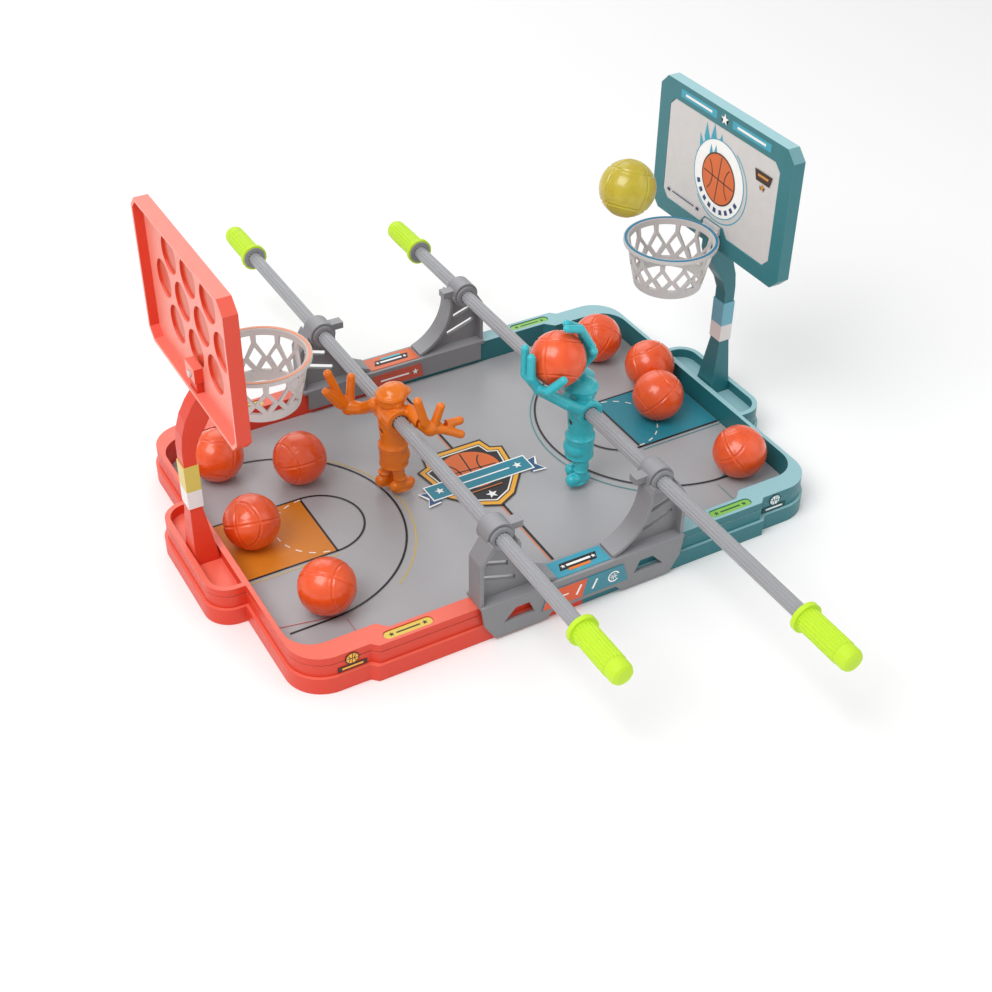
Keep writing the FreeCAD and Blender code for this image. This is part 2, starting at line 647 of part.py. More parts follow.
def grip(side, player):
    """A ribbed grip with a flange, pressed on the end of a rod."""
    name = "grip_%s_%s" % (SIDE_NAMES[side], PLAYER_NAMES[player])
    body = doc.addObject("PartDesign::Body", name + "_bar")
    shoulder = "grip_face+grip_flange_length"
    end = "grip_face+grip_length"
    profile = [
        ("0", "grip_face"),
        ("grip_flange_radius", "grip_face"),
        ("grip_flange_radius", shoulder),
        ("grip_radius", shoulder),
        ("grip_radius", shoulder + "+grip_rib_length"),
        ("grip_radius-0.3", shoulder + "+grip_rib_length"),
        ("grip_radius-0.3", end + "-3"),
        ("grip_radius-1.2", end + "-1.1"),
        ("grip_radius-3.2", end),
        ("0", end),
    ]
    turned(body, name, profile)
    flute_pattern(name, body, "XY_Plane", "grip_groove_radius", "grip_radius+grip_groove_radius*0.3", "0",
                  "grip_face+grip_flange_length+1", "grip_rib_length-1", "grip_rib_count", "Z_Axis")
    bore = rod_shape(name + "_bore", "z", "rod_radius+grip_gap", "grip_face-1", "grip_insert+1")
    result = cut(name, body, bore)
    turn = FreeCAD.Rotation(Vector(1, 0, 0), -90 if player == REAR else 90)
    result.Placement.Rotation = turn
    bind(result, "Placement.Base.x", signed(side, "rod_offset"))
    bind(result, "Placement.Base.y", SIDE_NAMES[side] + "_rod_shift")
    bind(result, "Placement.Base.z", "rod_height")
    node(name, result)


def bush(side, player):
    """A flanged bush that turns in the bridge ring; its keys run in the rod's grooves."""
    name = "bush_%s_%s" % (SIDE_NAMES[side], PLAYER_NAMES[player])
    gap = "turning_gap"
    near = "head_inner_face-%s-bush_flange_length" % gap
    far = "head_inner_face+head_length+%s+bush_flange_length" % gap
    length = "(%s)-(%s)" % (far, near)
    sleeve = rod_shape(name + "_sleeve", "z", "bush_radius", near, length)
    flanges = [
        rod_shape(name + "_inner_flange", "z", "bush_flange_radius", near, "bush_flange_length"),
        rod_shape(name + "_outer_flange", "z", "bush_flange_radius",
                  far + "-bush_flange_length", "bush_flange_length"),
    ]
    bore = rod_shape(name + "_bore", "z", "rod_radius+rod_gap", "(%s)-1" % near, "%s+2" % length)
    ring = cut(name + "_ring", fuse(name + "_outer", sleeve, *flanges), bore)
    keys = []
    for index in range(3):
        angle = index * 120
        keys.append(rod_shape("%s_key%d" % (name, index), "z", "key_radius", near, length,
                              x="(rod_radius+flute_radius*0.25)*cos(%d deg)" % angle,
                              y="(rod_radius+flute_radius*0.25)*sin(%d deg)" % angle))
    result = fuse(name, ring, *keys)
    turn = FreeCAD.Rotation(Vector(1, 0, 0), -90 if player == REAR else 90)
    result.Placement.Rotation = turn
    bind(result, "Placement.Base.x", signed(side, "rod_offset"))
    bind(result, "Placement.Base.z", "rod_height")
    node(name, result)


# ---------------------------------------------------------------- figures


JOINT_WAIST = 0.96


def limb(points, radii):
    """Round balls joined by tapered bars: an arm, a leg or a finger."""
    solids = []
    for point, radius in zip(points, radii):
        solids.append(Part.makeSphere(radius, Vector(*point)))
    for index in range(len(points) - 1):
        tail, tip = Vector(*points[index]), Vector(*points[index + 1])
        first, second = (JOINT_WAIST * radius for radius in radii[index:index + 2])
        run = tip - tail
        if abs(first - second) < 1e-6:
            solids.append(Part.makeCylinder(first, run.Length, tail, run))
        else:
            solids.append(Part.makeCone(first, second, run.Length, tail, run))
    return solids


def core():
    """Head and chest on a sleeve, bored for the rod and the clamp screw."""
    sleeve = Part.makeCylinder(size("rod_radius") + 4.2, 22, Vector(0, -11, 0), Vector(0, 1, 0))
    head = Part.makeSphere(9.0, Vector(0, 0, 12.6))
    chest = Part.makeCone(8.0, 9.4, 20.5, Vector(0, 0, -20), Vector(0, 0, 1))
    bore = Part.makeCylinder(size("rod_radius") + size("rod_gap"), 40, Vector(0, -20, 0), Vector(0, 1, 0))
    screw_hole = Part.makeCylinder(2.3, 8, Vector(-12, 0, -10), Vector(1, 0, 0))
    return sleeve.multiFuse([head, chest]).cut(bore).cut(screw_hole)


def body_parts(facing):
    """Cap, shorts, legs and shoes of a figure that faces +X or -X."""
    solids = [Part.makeCylinder(9.6, 2.2, Vector(0, 0, 14.5), Vector(0, 0, 1))]
    solids.append(Part.makeCylinder(6.4, 2.0, Vector(6.5 * facing, 0, 14.3), Vector(0, 0, 1)))
    solids.append(Part.makeCone(9.5, 8.3, 5, Vector(0, 0, -24), Vector(0, 0, 1)))
    solids.append(Part.makeCone(9.0, 9.2, 15, Vector(0, 0, -38), Vector(0, 0, 1)))
    for across, forward in ((-4.9, 1.5), (4.9, -4.0)):
        solids += limb([(0, across, -35), (forward * facing, across, -50)], [4.6, 3.9])
        heel = (forward * facing - 3.2 * facing, across, -52.8)
        toe = (forward * facing + 6.2 * facing, across, -52.8)
        solids += limb([heel, toe], [3.9, 4.1])
    return solids


def open_hands():
    """Arms held out along the rod, with four spread fingers on each hand."""
    solids = limb([(-8, 8.5, 5), (-10, 19, -4), (-17, 27, -6)], [4.2, 4.0, 5.2])
    for tip in ((-29, 29, 22), (-13.5, 29, 14.5), (-32.5, 25, 12)):
        knuckle = (-17 + (tip[0] + 17) * 0.45, 27 + (tip[1] - 27) * 0.5, -6 + (tip[2] + 6) * 0.3)
        solids += limb([(-17, 27, -6), knuckle, tip], [3.6, 3.1, 2.8])
    solids += limb([(-17, 27, -6), (-10, 25.5, -8), (-3.5, 24, -9.8)], [3.8, 3.2, 2.8])
    solids += limb([(8, -8.5, 5), (8.5, -20, 3), (12.5, -27, 1.5)], [4.2, 4.0, 5.0])
    for tip in ((4.5, -27, 24), (19.5, -28, 16), (33, -27, 0.5), (31, -32, -6)):
        knuckle = (12.5 + (tip[0] - 12.5) * 0.45, -27 + (tip[1] + 27) * 0.6, 1.5 + (tip[2] - 1.5) * 0.25)
        solids += limb([(12.5, -27, 1.5), knuckle, tip], [3.5, 3.0, 2.8])
    return solids


def holding_hands(ball):
    """Arms raised round a ball, with fingers that leave it a way out to the rear."""
    clear = size("ball_radius") + 3.4

    def beside(angle_cosine, angle_sine, back):
        return (ball[0] + clear * angle_cosine, ball[1] + back, ball[2] + clear * angle_sine)

    low_left = beside(-0.74, -0.72, -4)
    solids = limb([(-8, -8, 5), (-17, -9, 12), low_left], [4.2, 3.8, 3.8])
    solids += limb([low_left, beside(-1.02, -0.22, -4), beside(-1.0, 0.42, -3)], [3.4, 3.0, 2.7])
    solids += limb([low_left, beside(-1.0, -0.32, 4), beside(-0.98, 0.52, 5)], [3.4, 2.9, 2.6])
    front = (ball[0] - 8, ball[1] - clear * 0.92, ball[2] - 2)
    solids += limb([low_left, beside(-0.72, -0.52, -14), front], [3.4, 3.0, 2.8])
    low_right = beside(0.88, -0.72, 4)
    solids += limb([(7.5, 8, 6), (10, 9, 14), low_right], [4.2, 3.9, 3.7])
    solids += limb([low_right, beside(1.06, -0.1, 4), beside(0.8, 0.72, 3), beside(0.3, 1.05, 2)],
                   [3.4, 3.0, 2.8, 2.6])
    solids += limb([low_right, beside(1.1, -0.12, -3), beside(1.03, 0.1, -6)], [3.2, 2.9, 2.8])
    solids += limb([low_right, beside(1.12, 0.1, -1), beside(0.62, 0.92, -4), beside(0.1, 1.12, -5)],
                   [3.2, 2.8, 2.7, 2.5])
    return solids


HELD_BALL = (-17.3, 2.8, 38.4)


def figure(side, name, facing, arms):
    """A moulded figure with the rod through its chest and a clamp screw in its back."""
    axis = Vector(side * size("rod_offset"), size(SIDE_NAMES[side] + "_rod_shift"), size("rod_height"))
    shape = core().multiFuse(body_parts(facing) + arms).Solids[0]
    feature = doc.addObject("Part::Feature", name)
    feature.Shape = shape
    feature.Placement = FreeCAD.Placement(axis, FreeCAD.Rotation())
    node(name, feature)

    head = Part.makeCylinder(2.1, 1.6, Vector(-7.6, 0, -10), Vector(1, 0, 0))
    slot = Part.makeBox(1.0, 3.0, 0.7, Vector(-8.0, -1.5, -10.35))
    cross = Part.makeBox(1.0, 0.7, 3.0, Vector(-8.0, -0.35, -11.5))
    shank = Part.makeCylinder(1.1, 2.0, Vector(-6.0, 0, -10), Vector(1, 0, 0))
    screw = doc.addObject("Part::Feature", name + "_screw")
    screw.Shape = head.fuse(shank).cut(slot.fuse(cross)).removeSplitter().Solids[0]
    screw.Placement = FreeCAD.Placement(axis, FreeCAD.Rotation())
    node(name + "_screw", screw)


# ---------------------------------------------------------------- hoops


def board_corners(side, width, bottom, top, chamfer):
    half = [
        ("(%s)-(%s)" % (width, chamfer), bottom),
        (width, "(%s)+(%s)" % (bottom, chamfer)),
        (width, "(%s)-(%s)" % (top, chamfer)),
        ("(%s)-(%s)" % (width, chamfer), top),
    ]
    return half + list(reversed(mirrored(-1, half)))


def panel_corners(gap):
    """The printed panel's outline, with the notch at its foot."""
    width = "panel_half_width-(%s)" % gap
    bottom = "panel_bottom+(%s)" % gap
    top = "panel_top-(%s)" % gap
    half = [
        ("notch_half_width+(%s)" % gap, "notch_height+(%s)" % gap),
        ("notch_half_width+notch_slant+(%s)" % gap, bottom),
        ("(%s)-panel_chamfer" % width, bottom),
        (width, "(%s)+panel_chamfer" % bottom),
        (width, "(%s)-panel_chamfer" % top),
        ("(%s)-panel_chamfer" % width, top),
    ]
    return half + list(reversed(mirrored(-1, half)))


def backboard(side):
    """A shallow tray-shaped moulding with ten round holes in its back and a hoop clip."""
    name = "backboard_" + COLOUR_NAMES[side]
    back = "board_face+board_depth"
    start, depth = span(side, "board_face", back)
    whole = prism(name + "_whole", "YZ_Plane",
                  board_corners(side, "board_half_width", "board_bottom", "board_top", "board_chamfer"),
                  start, depth)
    start, depth = span(side, "board_face+board_plate", back + "+1")
    hollow = prism(name + "_hollow", "YZ_Plane",
                   board_corners(side, "board_half_width-board_wall", "board_bottom+board_wall",
                                 "board_top-board_wall", "board_chamfer-board_wall*0.6"),
                   start, depth)
    start, depth = span(side, "board_face-1", "board_face+panel_recess")
    recess = prism(name + "_recess", "YZ_Plane", panel_corners("0"), start, depth)
    dimples = []
    for row, count in ((1, 3), (0, 4), (-1, 3)):
        for index in range(count):
            start, depth = span(side, "board_face+panel_recess-0.5", back)
            dimples.append(rod_shape("%s_dimple%d%d" % (name, row + 1, index), "x", "dimple_radius",
                                     start, depth,
                                     y="dimple_pitch*%g" % (index - (count - 1) / 2),
                                     z="dimple_middle+dimple_row_pitch*%d" % row))
    shell = cut(name + "_shell", whole, hollow, recess, *dimples)
    x_range = (signed(side, "board_face+board_plate-0.2"), signed(side, back + "-0.4"))
    clip = block(name + "_clip", x_range, ("-clip_half_width", "clip_half_width"),
                 ("clip_bottom", "clip_top"))
    start, depth = span(side, "board_face-1", back + "+1")
    peg_hole = rod_shape(name + "_peg_hole", "x", "peg_radius+peg_gap", start, depth, z="peg_height", y="0")
    slot = block(name + "_slot", (signed(side, "board_face+board_plate+0.2-tongue_gap"),
                                  signed(side, back + "-1.6+tongue_gap")),
                 ("-(tongue_half_width+tongue_gap)", "tongue_half_width+tongue_gap"),
                 ("board_bottom-1", "board_bottom+board_wall+1"))
    node(name, cut(name, fuse(name + "_body", shell, clip), peg_hole, slot))

    start, depth = span(side, "board_face+panel_recess-panel_thickness", "board_face+panel_recess")
    panel = "panel_" + COLOUR_NAMES[side]
    node(panel, prism(panel, "YZ_Plane", panel_corners("inlay_gap"), start, depth))


def net_windows(body, name, corners, turn):
    """One row of windows, cut once from the middle outwards and repeated round the net."""
    before = body.Tip.Shape.Volume
    sketch = outline_sketch(body, "XZ_Plane", corners, "0")
    sketch.AttachmentOffset = FreeCAD.Placement(Vector(0, 0, 0), FreeCAD.Rotation(Vector(0, 1, 0), turn))
    pocket = body.newObject("PartDesign::Pocket", name)
    pocket.Profile = sketch
    pocket.Length = 1
    bind(pocket, "Length", "hoop_radius+5")
    body.Tip = pocket
    doc.recompute()
    pattern = body.newObject("PartDesign::PolarPattern", name + "_round")
    pattern.Originals = [pocket]
    pattern.Axis = (origin_plane(body, "Z_Axis"), [""])
    pattern.Angle = 360
    pattern.Occurrences = 2
    bind(pattern, "Occurrences", "net_count")
    body.Tip = pattern
    doc.recompute()
    if pattern.Shape.Volume > before - 60:
        raise RuntimeError(name + " cuts nothing")


def hoop(side):
    """Ring and net in one moulding, with a plate and a peg for the backboard."""
    name = "hoop_" + SIDE_NAMES[side]
    body = doc.addObject("PartDesign::Body", name + "_net")
    ring_foot = "hoop_height-hoop_ring_thickness"
    foot = "hoop_height-net_height"
    profile = [
        ("net_foot_radius-net_wall", foot),
        ("net_foot_radius", foot),
        ("net_radius", ring_foot),
        ("hoop_radius", ring_foot),
        ("hoop_radius", "hoop_height"),
        ("hoop_inner_radius", "hoop_height"),
        ("net_radius-net_wall", ring_foot),
    ]
    turned(body, name, profile)
    half_turn = 180 / size("net_count")
    house = [("-5.5", "-1.4"), ("5.5", "-1.4"), ("5.5", "-6.5"), ("0", "-15"), ("-5.5", "-6.5")]
    diamond = [("0", "-8.6"), ("4.1", "-14.7"), ("0", "-20.8"), ("-4.1", "-14.7")]
    arrow = [("0", "-16.8"), ("3.7", "-22.4"), ("-3.7", "-22.4")]
    for row, corners, turn in (("house", house, 0), ("diamond", diamond, half_turn), ("arrow", arrow, 0)):
        placed = [(across, ring_foot + down) for across, down in corners]
        net_windows(body, "%s_%s" % (name, row), placed, turn)
    bind(body, "Placement.Base.x", signed(side, "hoop_middle"))

    across = ("-(notch_half_width-1.5)", "notch_half_width-1.5")
    rest = block(name + "_rest", (signed(side, "hoop_middle+hoop_radius-2"), signed(side, "board_face-0.2")),
                 across, (ring_foot, "hoop_height"))
    plate = block(name + "_plate", (signed(side, "hoop_middle+hoop_radius"), signed(side, "board_face-0.2")),
                  across, (ring_foot, "notch_height-0.5"))
    start, depth = span(side, "board_face-1", "board_face+board_depth-0.4+peg_stand_out")
    peg = rod_shape(name + "_peg", "x", "peg_radius", start, depth, z="peg_height", y="0")
    node(name, fuse(name, body, rest, plate, peg))

    stripe = "hoop_stripe_" + SIDE_NAMES[side]
    outer = rod_shape(stripe + "_outer", "z", "stripe_outer_radius", "hoop_height", "label_thickness/2")
    inner = rod_shape(stripe + "_inner", "z", "stripe_inner_radius", "hoop_height-1", "3")
    band = cut(stripe, outer, inner)
    bind(band, "Placement.Base.x", signed(side, "hoop_middle"))
    node(stripe, band)


def post(side):
    """A curved post: flared foot, shaft, neck, tongue for the board and arm under the hoop."""
    name = "post_" + SIDE_NAMES[side]
    arm_front = "board_face-0.3"
    profile = [
        ("post_foot_inner", "lobe_floor"),
        ("post_foot_outer", "lobe_floor"),
        ("post_foot_outer", "lobe_floor+3"),
        ("post_outer", "band_bottom-2"),
        ("post_outer", "post_bend"),
        ("post_outer-1.2", "post_bend+10"),
        ("post_outer-4.2", "post_bend+19.5"),
        ("post_outer-8.8", "post_bend+28"),
        ("board_face+board_depth-1", "board_bottom"),
        ("board_face+board_depth-1.6", "board_bottom"),
        ("board_face+board_depth-1.6", "clip_bottom-0.8"),
        ("board_face+board_plate+0.2", "clip_bottom-0.8"),
        ("board_face+board_plate+0.2", "board_bottom"),
        (arm_front, "board_bottom"),
        (arm_front, "hoop_height-hoop_ring_thickness"),
        (arm_front + "-3.2", "hoop_height-hoop_ring_thickness"),
        (arm_front + "-3.2", "board_bottom-2.5"),
        (arm_front + "-1", "board_bottom-9.5"),
        ("post_inner-8.6", "post_bend+14"),
        ("post_inner-3.2", "post_bend+6"),
        ("post_inner", "post_bend-3"),
        ("post_inner", "band_bottom-2"),
        ("post_foot_inner", "lobe_floor+3"),
    ]
    front = prism(name + "_front", "XZ_Plane", mirrored(side, profile), "-post_foot_half_width-1",
                  "2*post_foot_half_width+2")
    half = [
        ("post_foot_half_width", "lobe_floor"),
        ("post_foot_half_width", "lobe_floor+3"),
        ("post_half_width", "band_bottom-2"),
        ("post_half_width", "board_bottom"),
        ("tongue_half_width", "board_bottom"),
        ("tongue_half_width", "hoop_height"),
    ]
    start, depth = span(side, "board_face-10", "post_foot_outer+2")
    side_view = prism(name + "_side", "YZ_Plane", half + list(reversed(mirrored(-1, half))), start, depth)
    node(name, common(name, front, side_view))

    for word, low, high in (("white", "band_bottom", "band_middle"), ("colour", "band_middle", "band_top")):
        band = "post_band_%s_%s" % (word, SIDE_NAMES[side])
        wrap = "label_thickness"
        outer = block(band + "_outer", (signed(side, "post_inner-%s" % wrap), signed(side, "post_outer+%s" % wrap)),
                      ("-(post_half_width+%s)" % wrap, "post_half_width+%s" % wrap), (low, high))
        inner = block(band + "_inner", (signed(side, "post_inner"), signed(side, "post_outer")),
                      ("-post_half_width", "post_half_width"), (low + "-1", high + "+1"))
        node(band, cut(band, outer, inner))


# ---------------------------------------------------------------- balls


def ball(name, x, y, z):
    sphere = doc.addObject("Part::Sphere", name)
    bind(sphere, "Radius", "ball_radius")
    for letter, text in zip("xyz", (x, y, z)):
        bind(sphere, "Placement.Base." + letter, text)
    node(name, sphere)


LOOSE_BALLS = {
    "ball_red_rear": (-147.4, 78.5),
    "ball_red_inner": (-102, 50.1),
    "ball_red_middle": (-153.7, 4.8),
    "ball_red_front": (-138.2, -71),
    "ball_teal_rear": (143.4, 80.1),
    "ball_teal_outer": (157, 33.1),
    "ball_teal_middle": (140.8, -1.2),
    "ball_teal_front": (150.9, -79.9),
}

for side in (LEFT, RIGHT):
    tray_half(side)
playing_surface()
for side in (LEFT, RIGHT):
    for player in (FRONT, REAR):
        label = "pill_%s_%s" % (COLOUR_NAMES[side], PLAYER_NAMES[player])
        floor = "rim_height-pill_depth"
        node(label, pill(label, side, player, "inlay_gap", floor, floor + "+pill_thickness"))
for player in (FRONT, REAR):
    bridge(player)
    printed_plates(player)
for side in (LEFT, RIGHT):
    fluted_rod(side)
    for player in (FRONT, REAR):
        grip(side, player)
        bush(side, player)
        ring_cap(side, player)
figure(LEFT, "figure_orange", 1, open_hands())
figure(RIGHT, "figure_cyan", -1, holding_hands(HELD_BALL))
for side in (LEFT, RIGHT):
    backboard(side)
    hoop(side)
    post(side)
for name, (x, y) in LOOSE_BALLS.items():
    ball(name, "%g" % x, "%g" % y, "field_height+ball_radius+ball_gap")
ball("ball_held", "rod_offset+(%g)" % HELD_BALL[0], "right_rod_shift+(%g)" % HELD_BALL[1],
     "rod_height+(%g)" % HELD_BALL[2])
ball("ball_yellow", "100.3", "-5", "193.5")

doc.recompute()
for item in doc.Objects:
    if "Invalid" in item.State or "Error" in item.State:
        raise RuntimeError("%s failed: %s" % (item.Name, item.State))
os.makedirs("parts", exist_ok=True)
for item in nodes:
    shape = item.Shape
    if shape.isNull() or not shape.isValid() or not shape.Solids:
        raise RuntimeError(item.Label + " has no valid solid")
    print(item.Label, len(shape.Solids), round(shape.Volume), shape.BoundBox)
    shape.exportStep("parts/%s.step" % item.Label)
print(len(nodes), "sub-parts")
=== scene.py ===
import math
import random

import bmesh
import bpy
from mathutils import Euler, Matrix, Vector


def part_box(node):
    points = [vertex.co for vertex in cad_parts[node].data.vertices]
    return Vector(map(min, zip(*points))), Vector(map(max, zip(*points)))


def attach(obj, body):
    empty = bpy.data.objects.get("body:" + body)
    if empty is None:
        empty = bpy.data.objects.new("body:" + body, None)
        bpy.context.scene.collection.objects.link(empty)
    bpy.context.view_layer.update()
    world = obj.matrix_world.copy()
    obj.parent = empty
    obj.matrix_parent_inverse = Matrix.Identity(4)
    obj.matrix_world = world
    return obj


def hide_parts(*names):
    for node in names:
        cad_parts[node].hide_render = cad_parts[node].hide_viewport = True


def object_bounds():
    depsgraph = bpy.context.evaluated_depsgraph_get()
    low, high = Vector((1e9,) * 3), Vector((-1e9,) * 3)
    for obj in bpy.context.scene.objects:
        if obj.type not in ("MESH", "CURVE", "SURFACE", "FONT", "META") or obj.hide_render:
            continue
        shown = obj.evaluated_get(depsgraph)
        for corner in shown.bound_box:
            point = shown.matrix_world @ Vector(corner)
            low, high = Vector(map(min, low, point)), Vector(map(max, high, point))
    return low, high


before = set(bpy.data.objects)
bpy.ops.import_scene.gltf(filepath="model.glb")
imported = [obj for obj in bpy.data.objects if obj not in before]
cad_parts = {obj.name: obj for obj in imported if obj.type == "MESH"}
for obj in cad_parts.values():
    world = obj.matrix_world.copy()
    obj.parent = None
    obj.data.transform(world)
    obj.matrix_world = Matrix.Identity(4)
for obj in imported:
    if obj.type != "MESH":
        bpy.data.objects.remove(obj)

# ---------------------------------------------------------------- studio
# The game stands on pale studio paper under three large soft lights. The camera
# looks down on it from the front left, from about a metre away.

MM = 0.001
CAMERA_TURN = math.radians(-30.12)
CAMERA_TILT = math.radians(38.29)
CAMERA_ROLL = math.radians(0.89)
CAMERA_PLACE = Vector((-384.34, -688.36, 614.63)) * MM
LENS_MM = 55.22
SENSOR_MM = 36
LIT_POINT = Vector((0, 0, 0.05))
WORLD_STRENGTH = 0.62
FLOOR_REACH = 6.0
FLOOR_GAP = 0.0002

cad_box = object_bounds()
scene = bpy.context.scene
scene.view_settings.view_transform = "Standard"


def linear(code):
    """An sRGB hex colour as linear numbers with an alpha of one."""
    parts = [int(code[start:start + 2], 16) / 255 for start in (1, 3, 5)]
    return [c / 12.92 if c <= 0.04045 else ((c + 0.055) / 1.055) ** 2.4 for c in parts] + [1.0]


def add(tree, kind, fields=None, inputs=None):
    """Adds a shader node: fields are its own settings, inputs are values or links."""
    item = tree.nodes.new("ShaderNode" + kind)
    for field, value in (fields or {}).items():
        setattr(item, field, value)
    for socket, value in (inputs or {}).items():
        if isinstance(value, bpy.types.NodeSocket):
            tree.links.new(value, item.inputs[socket])
        else:
            item.inputs[socket].default_value = value
    return item


def blend(tree, amount, first, second, kind="MIX"):
    """Mixes two colours by an amount and returns the mixed colour."""
    mix = add(tree, "Mix", {"data_type": "RGBA", "blend_type": kind}, {0: amount, 6: first, 7: second})
    return mix.outputs[2]


def new_material(name):
    """A new material, its node tree and its shader."""
    material = bpy.data.materials.new(name)
    material.use_nodes = True
    return material, material.node_tree, material.node_tree.nodes["Principled BSDF"]


def put(name, data):
    """Puts a new object into the scene."""
    item = bpy.data.objects.new(name, data)
    scene.collection.objects.link(item)
    return item


def make_camera():
    flat = math.cos(CAMERA_TILT)
    back = Vector((math.sin(CAMERA_TURN) * flat, -math.cos(CAMERA_TURN) * flat, math.sin(CAMERA_TILT)))
    right = (-back).cross(Vector((0, 0, 1))).normalized()
    up = right.cross(-back)
    across = right * math.cos(CAMERA_ROLL) + up * math.sin(CAMERA_ROLL)
    upright = up * math.cos(CAMERA_ROLL) - right * math.sin(CAMERA_ROLL)
    data = bpy.data.cameras.new("camera")
    data.lens = LENS_MM
    data.sensor_width = SENSOR_MM
    camera = put("camera", data)
    turn = Matrix((across, upright, back)).transposed().to_4x4()
    camera.matrix_world = Matrix.Translation(CAMERA_PLACE) @ turn
    scene.camera = camera


def soft_light(name, place, watts, side):
    """A square soft box, in metres, turned towards the game."""
    data = bpy.data.lights.new(name, "AREA")
    data.energy = watts
    data.size = side
    lamp = put(name, data)
    lamp.location = place
    lamp.rotation_euler = (LIT_POINT - Vector(place)).to_track_quat("-Z", "Y").to_euler()


def make_floor():
    """A wide sheet of paper just under the game."""
    mesh = bpy.data.meshes.new("studio_floor")
    low = cad_box[0][2] - FLOOR_GAP
    corners = [(x * FLOOR_REACH, y * FLOOR_REACH, low) for x, y in ((-1, -1), (1, -1), (1, 1), (-1, 1))]
    mesh.from_pydata(corners, [], [(0, 1, 2, 3)])
    floor = put("studio_floor", mesh)
    # A faint mottle keeps the paper from looking like an empty background.
    paper, tree, shader = new_material("studio paper, matt")
    shader.inputs["Roughness"].default_value = 0.85
    cloud = add(tree, "TexNoise", inputs={"Scale": 3.0, "Detail": 3.0})
    tint = blend(tree, cloud.outputs[0], linear("#F9F9F9"), linear("#FDFDFD"))
    tree.links.new(tint, shader.inputs["Base Color"])
    mesh.materials.append(paper)


make_camera()
make_floor()
soft_light("key", place=(-0.8, -0.3, 1.3), watts=13, side=0.9)
soft_light("fill", place=(1.1, -1.0, 0.9), watts=3, side=1.2)
soft_light("lit_top_colour", place=(0.3, 1.4, 1.1), watts=6, side=1.2)
world = bpy.data.worlds.new("studio")
world.use_nodes = True
world.node_tree.nodes["Background"].inputs[0].default_value = linear("#FFFFFF")
world.node_tree.nodes["Background"].inputs[1].default_value = WORLD_STRENGTH
scene.world = world

# ---------------------------------------------------------------- tray
# Two injection-moulded ABS halves, one red and one teal, butted at the middle.
# Satin from a lightly blasted mould; the edges are paler with wear, and the faces that look up are painted
# paler as painted light from above.

PLASTIC_IOR = 1.53
EDGE_ROUND_MM = 0.5
PIGMENT_CLOUD_MM = 34
PIGMENT_DEPTH = 0.93
SCUFF_MM = 6
GRAIN_DEPTH_MM = 0.1


def moulded_plastic(name, face, rubbed, lit_top_colour=None, rough=0.36, grain_mm=0.5, relief=0.12, edge=0.35,
                    glow=0.0, glow_mm=2.0, back=None):
    """Moulded plastic: cloudy pigment, mould grain, rounded paler edges and scuffs in the gloss.

    Faces that look up are painted in the top colour, paler, as painted light from above. back is a side, -1
    or 1, and the colour of faces that look that way, painted paler as painted light. glow lets light soak in,
    to the depth glow_mm.
    """
    material, tree, shader = new_material(name)
    shader.inputs["IOR"].default_value = PLASTIC_IOR
    place = add(tree, "TexCoord").outputs["Object"]
    cloud = add(tree, "TexNoise", inputs={"Vector": place, "Scale": 1000 / PIGMENT_CLOUD_MM,
                                          "Detail": 4.0, "Roughness": 0.55})
    grain = add(tree, "TexNoise", inputs={"Vector": place, "Scale": 1000 / grain_mm, "Detail": 2.0})
    scuff = add(tree, "TexNoise", inputs={"Vector": place, "Scale": 1000 / SCUFF_MM, "Detail": 5.0,
                                          "Roughness": 0.7, "Distortion": 1.2})
    bevel = add(tree, "Bevel", {"samples": 4}, {"Radius": EDGE_ROUND_MM * MM})
    normal = add(tree, "NewGeometry").outputs["Normal"]
    alike = add(tree, "VectorMath", {"operation": "DOT_PRODUCT"}, {0: bevel.outputs[0], 1: normal})
    corner = add(tree, "MapRange", inputs={"Value": alike.outputs["Value"], "From Min": 0.995,
                                           "From Max": 0.80, "To Min": 0.0, "To Max": edge})
    deep = [c * PIGMENT_DEPTH for c in linear(face)[:3]] + [1.0]
    colour = blend(tree, cloud.outputs[0], deep, linear(face))
    if lit_top_colour or back:
        way = add(tree, "SeparateXYZ", inputs={0: normal})
    # Painted highlight: faces that look up are painted paler, as if lit from above.
    if lit_top_colour:
        lit_top_mask = add(tree, "MapRange", inputs={"Value": way.outputs["Z"], "From Min": 0.55,
                                            "From Max": 0.98, "To Min": 0.0, "To Max": 0.9})
        colour = blend(tree, lit_top_mask.outputs[0], colour, linear(lit_top_colour))
    if back:
        # Painted light: faces that look towards the given side are painted in a paler colour.
        side, lit_back_colour = back
        painted_side = add(tree, "MapRange", inputs={"Value": way.outputs["X"], "From Min": 0.9 * side,
                                               "From Max": 0.99 * side, "To Min": 0.0, "To Max": 0.85})
        colour = blend(tree, painted_side.outputs[0], colour, linear(lit_back_colour))
    worn = blend(tree, corner.outputs[0], colour, linear(rubbed))
    tree.links.new(worn, shader.inputs["Base Color"])
    gloss = add(tree, "MapRange", inputs={"Value": scuff.outputs[0], "From Min": 0.3, "From Max": 0.75,
                                          "To Min": rough - 0.05, "To Max": rough + 0.1})
    tree.links.new(gloss.outputs[0], shader.inputs["Roughness"])
    bump = add(tree, "Bump", inputs={"Strength": relief, "Distance": GRAIN_DEPTH_MM * MM,
                                     "Height": grain.outputs[0], "Normal": bevel.outputs[0]})
    tree.links.new(bump.outputs[0], shader.inputs["Normal"])
    if glow:
        shader.inputs["Subsurface Weight"].default_value = glow
        shader.inputs["Subsurface Radius"].default_value = (1.0, 0.45, 0.2)
        shader.inputs["Subsurface Scale"].default_value = glow_mm * MM
    return material


def finish(material, *names):
    """Gives CAD nodes a material."""
    for name in names:
        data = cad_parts[name].data
        data.materials.clear()
        data.materials.append(material)
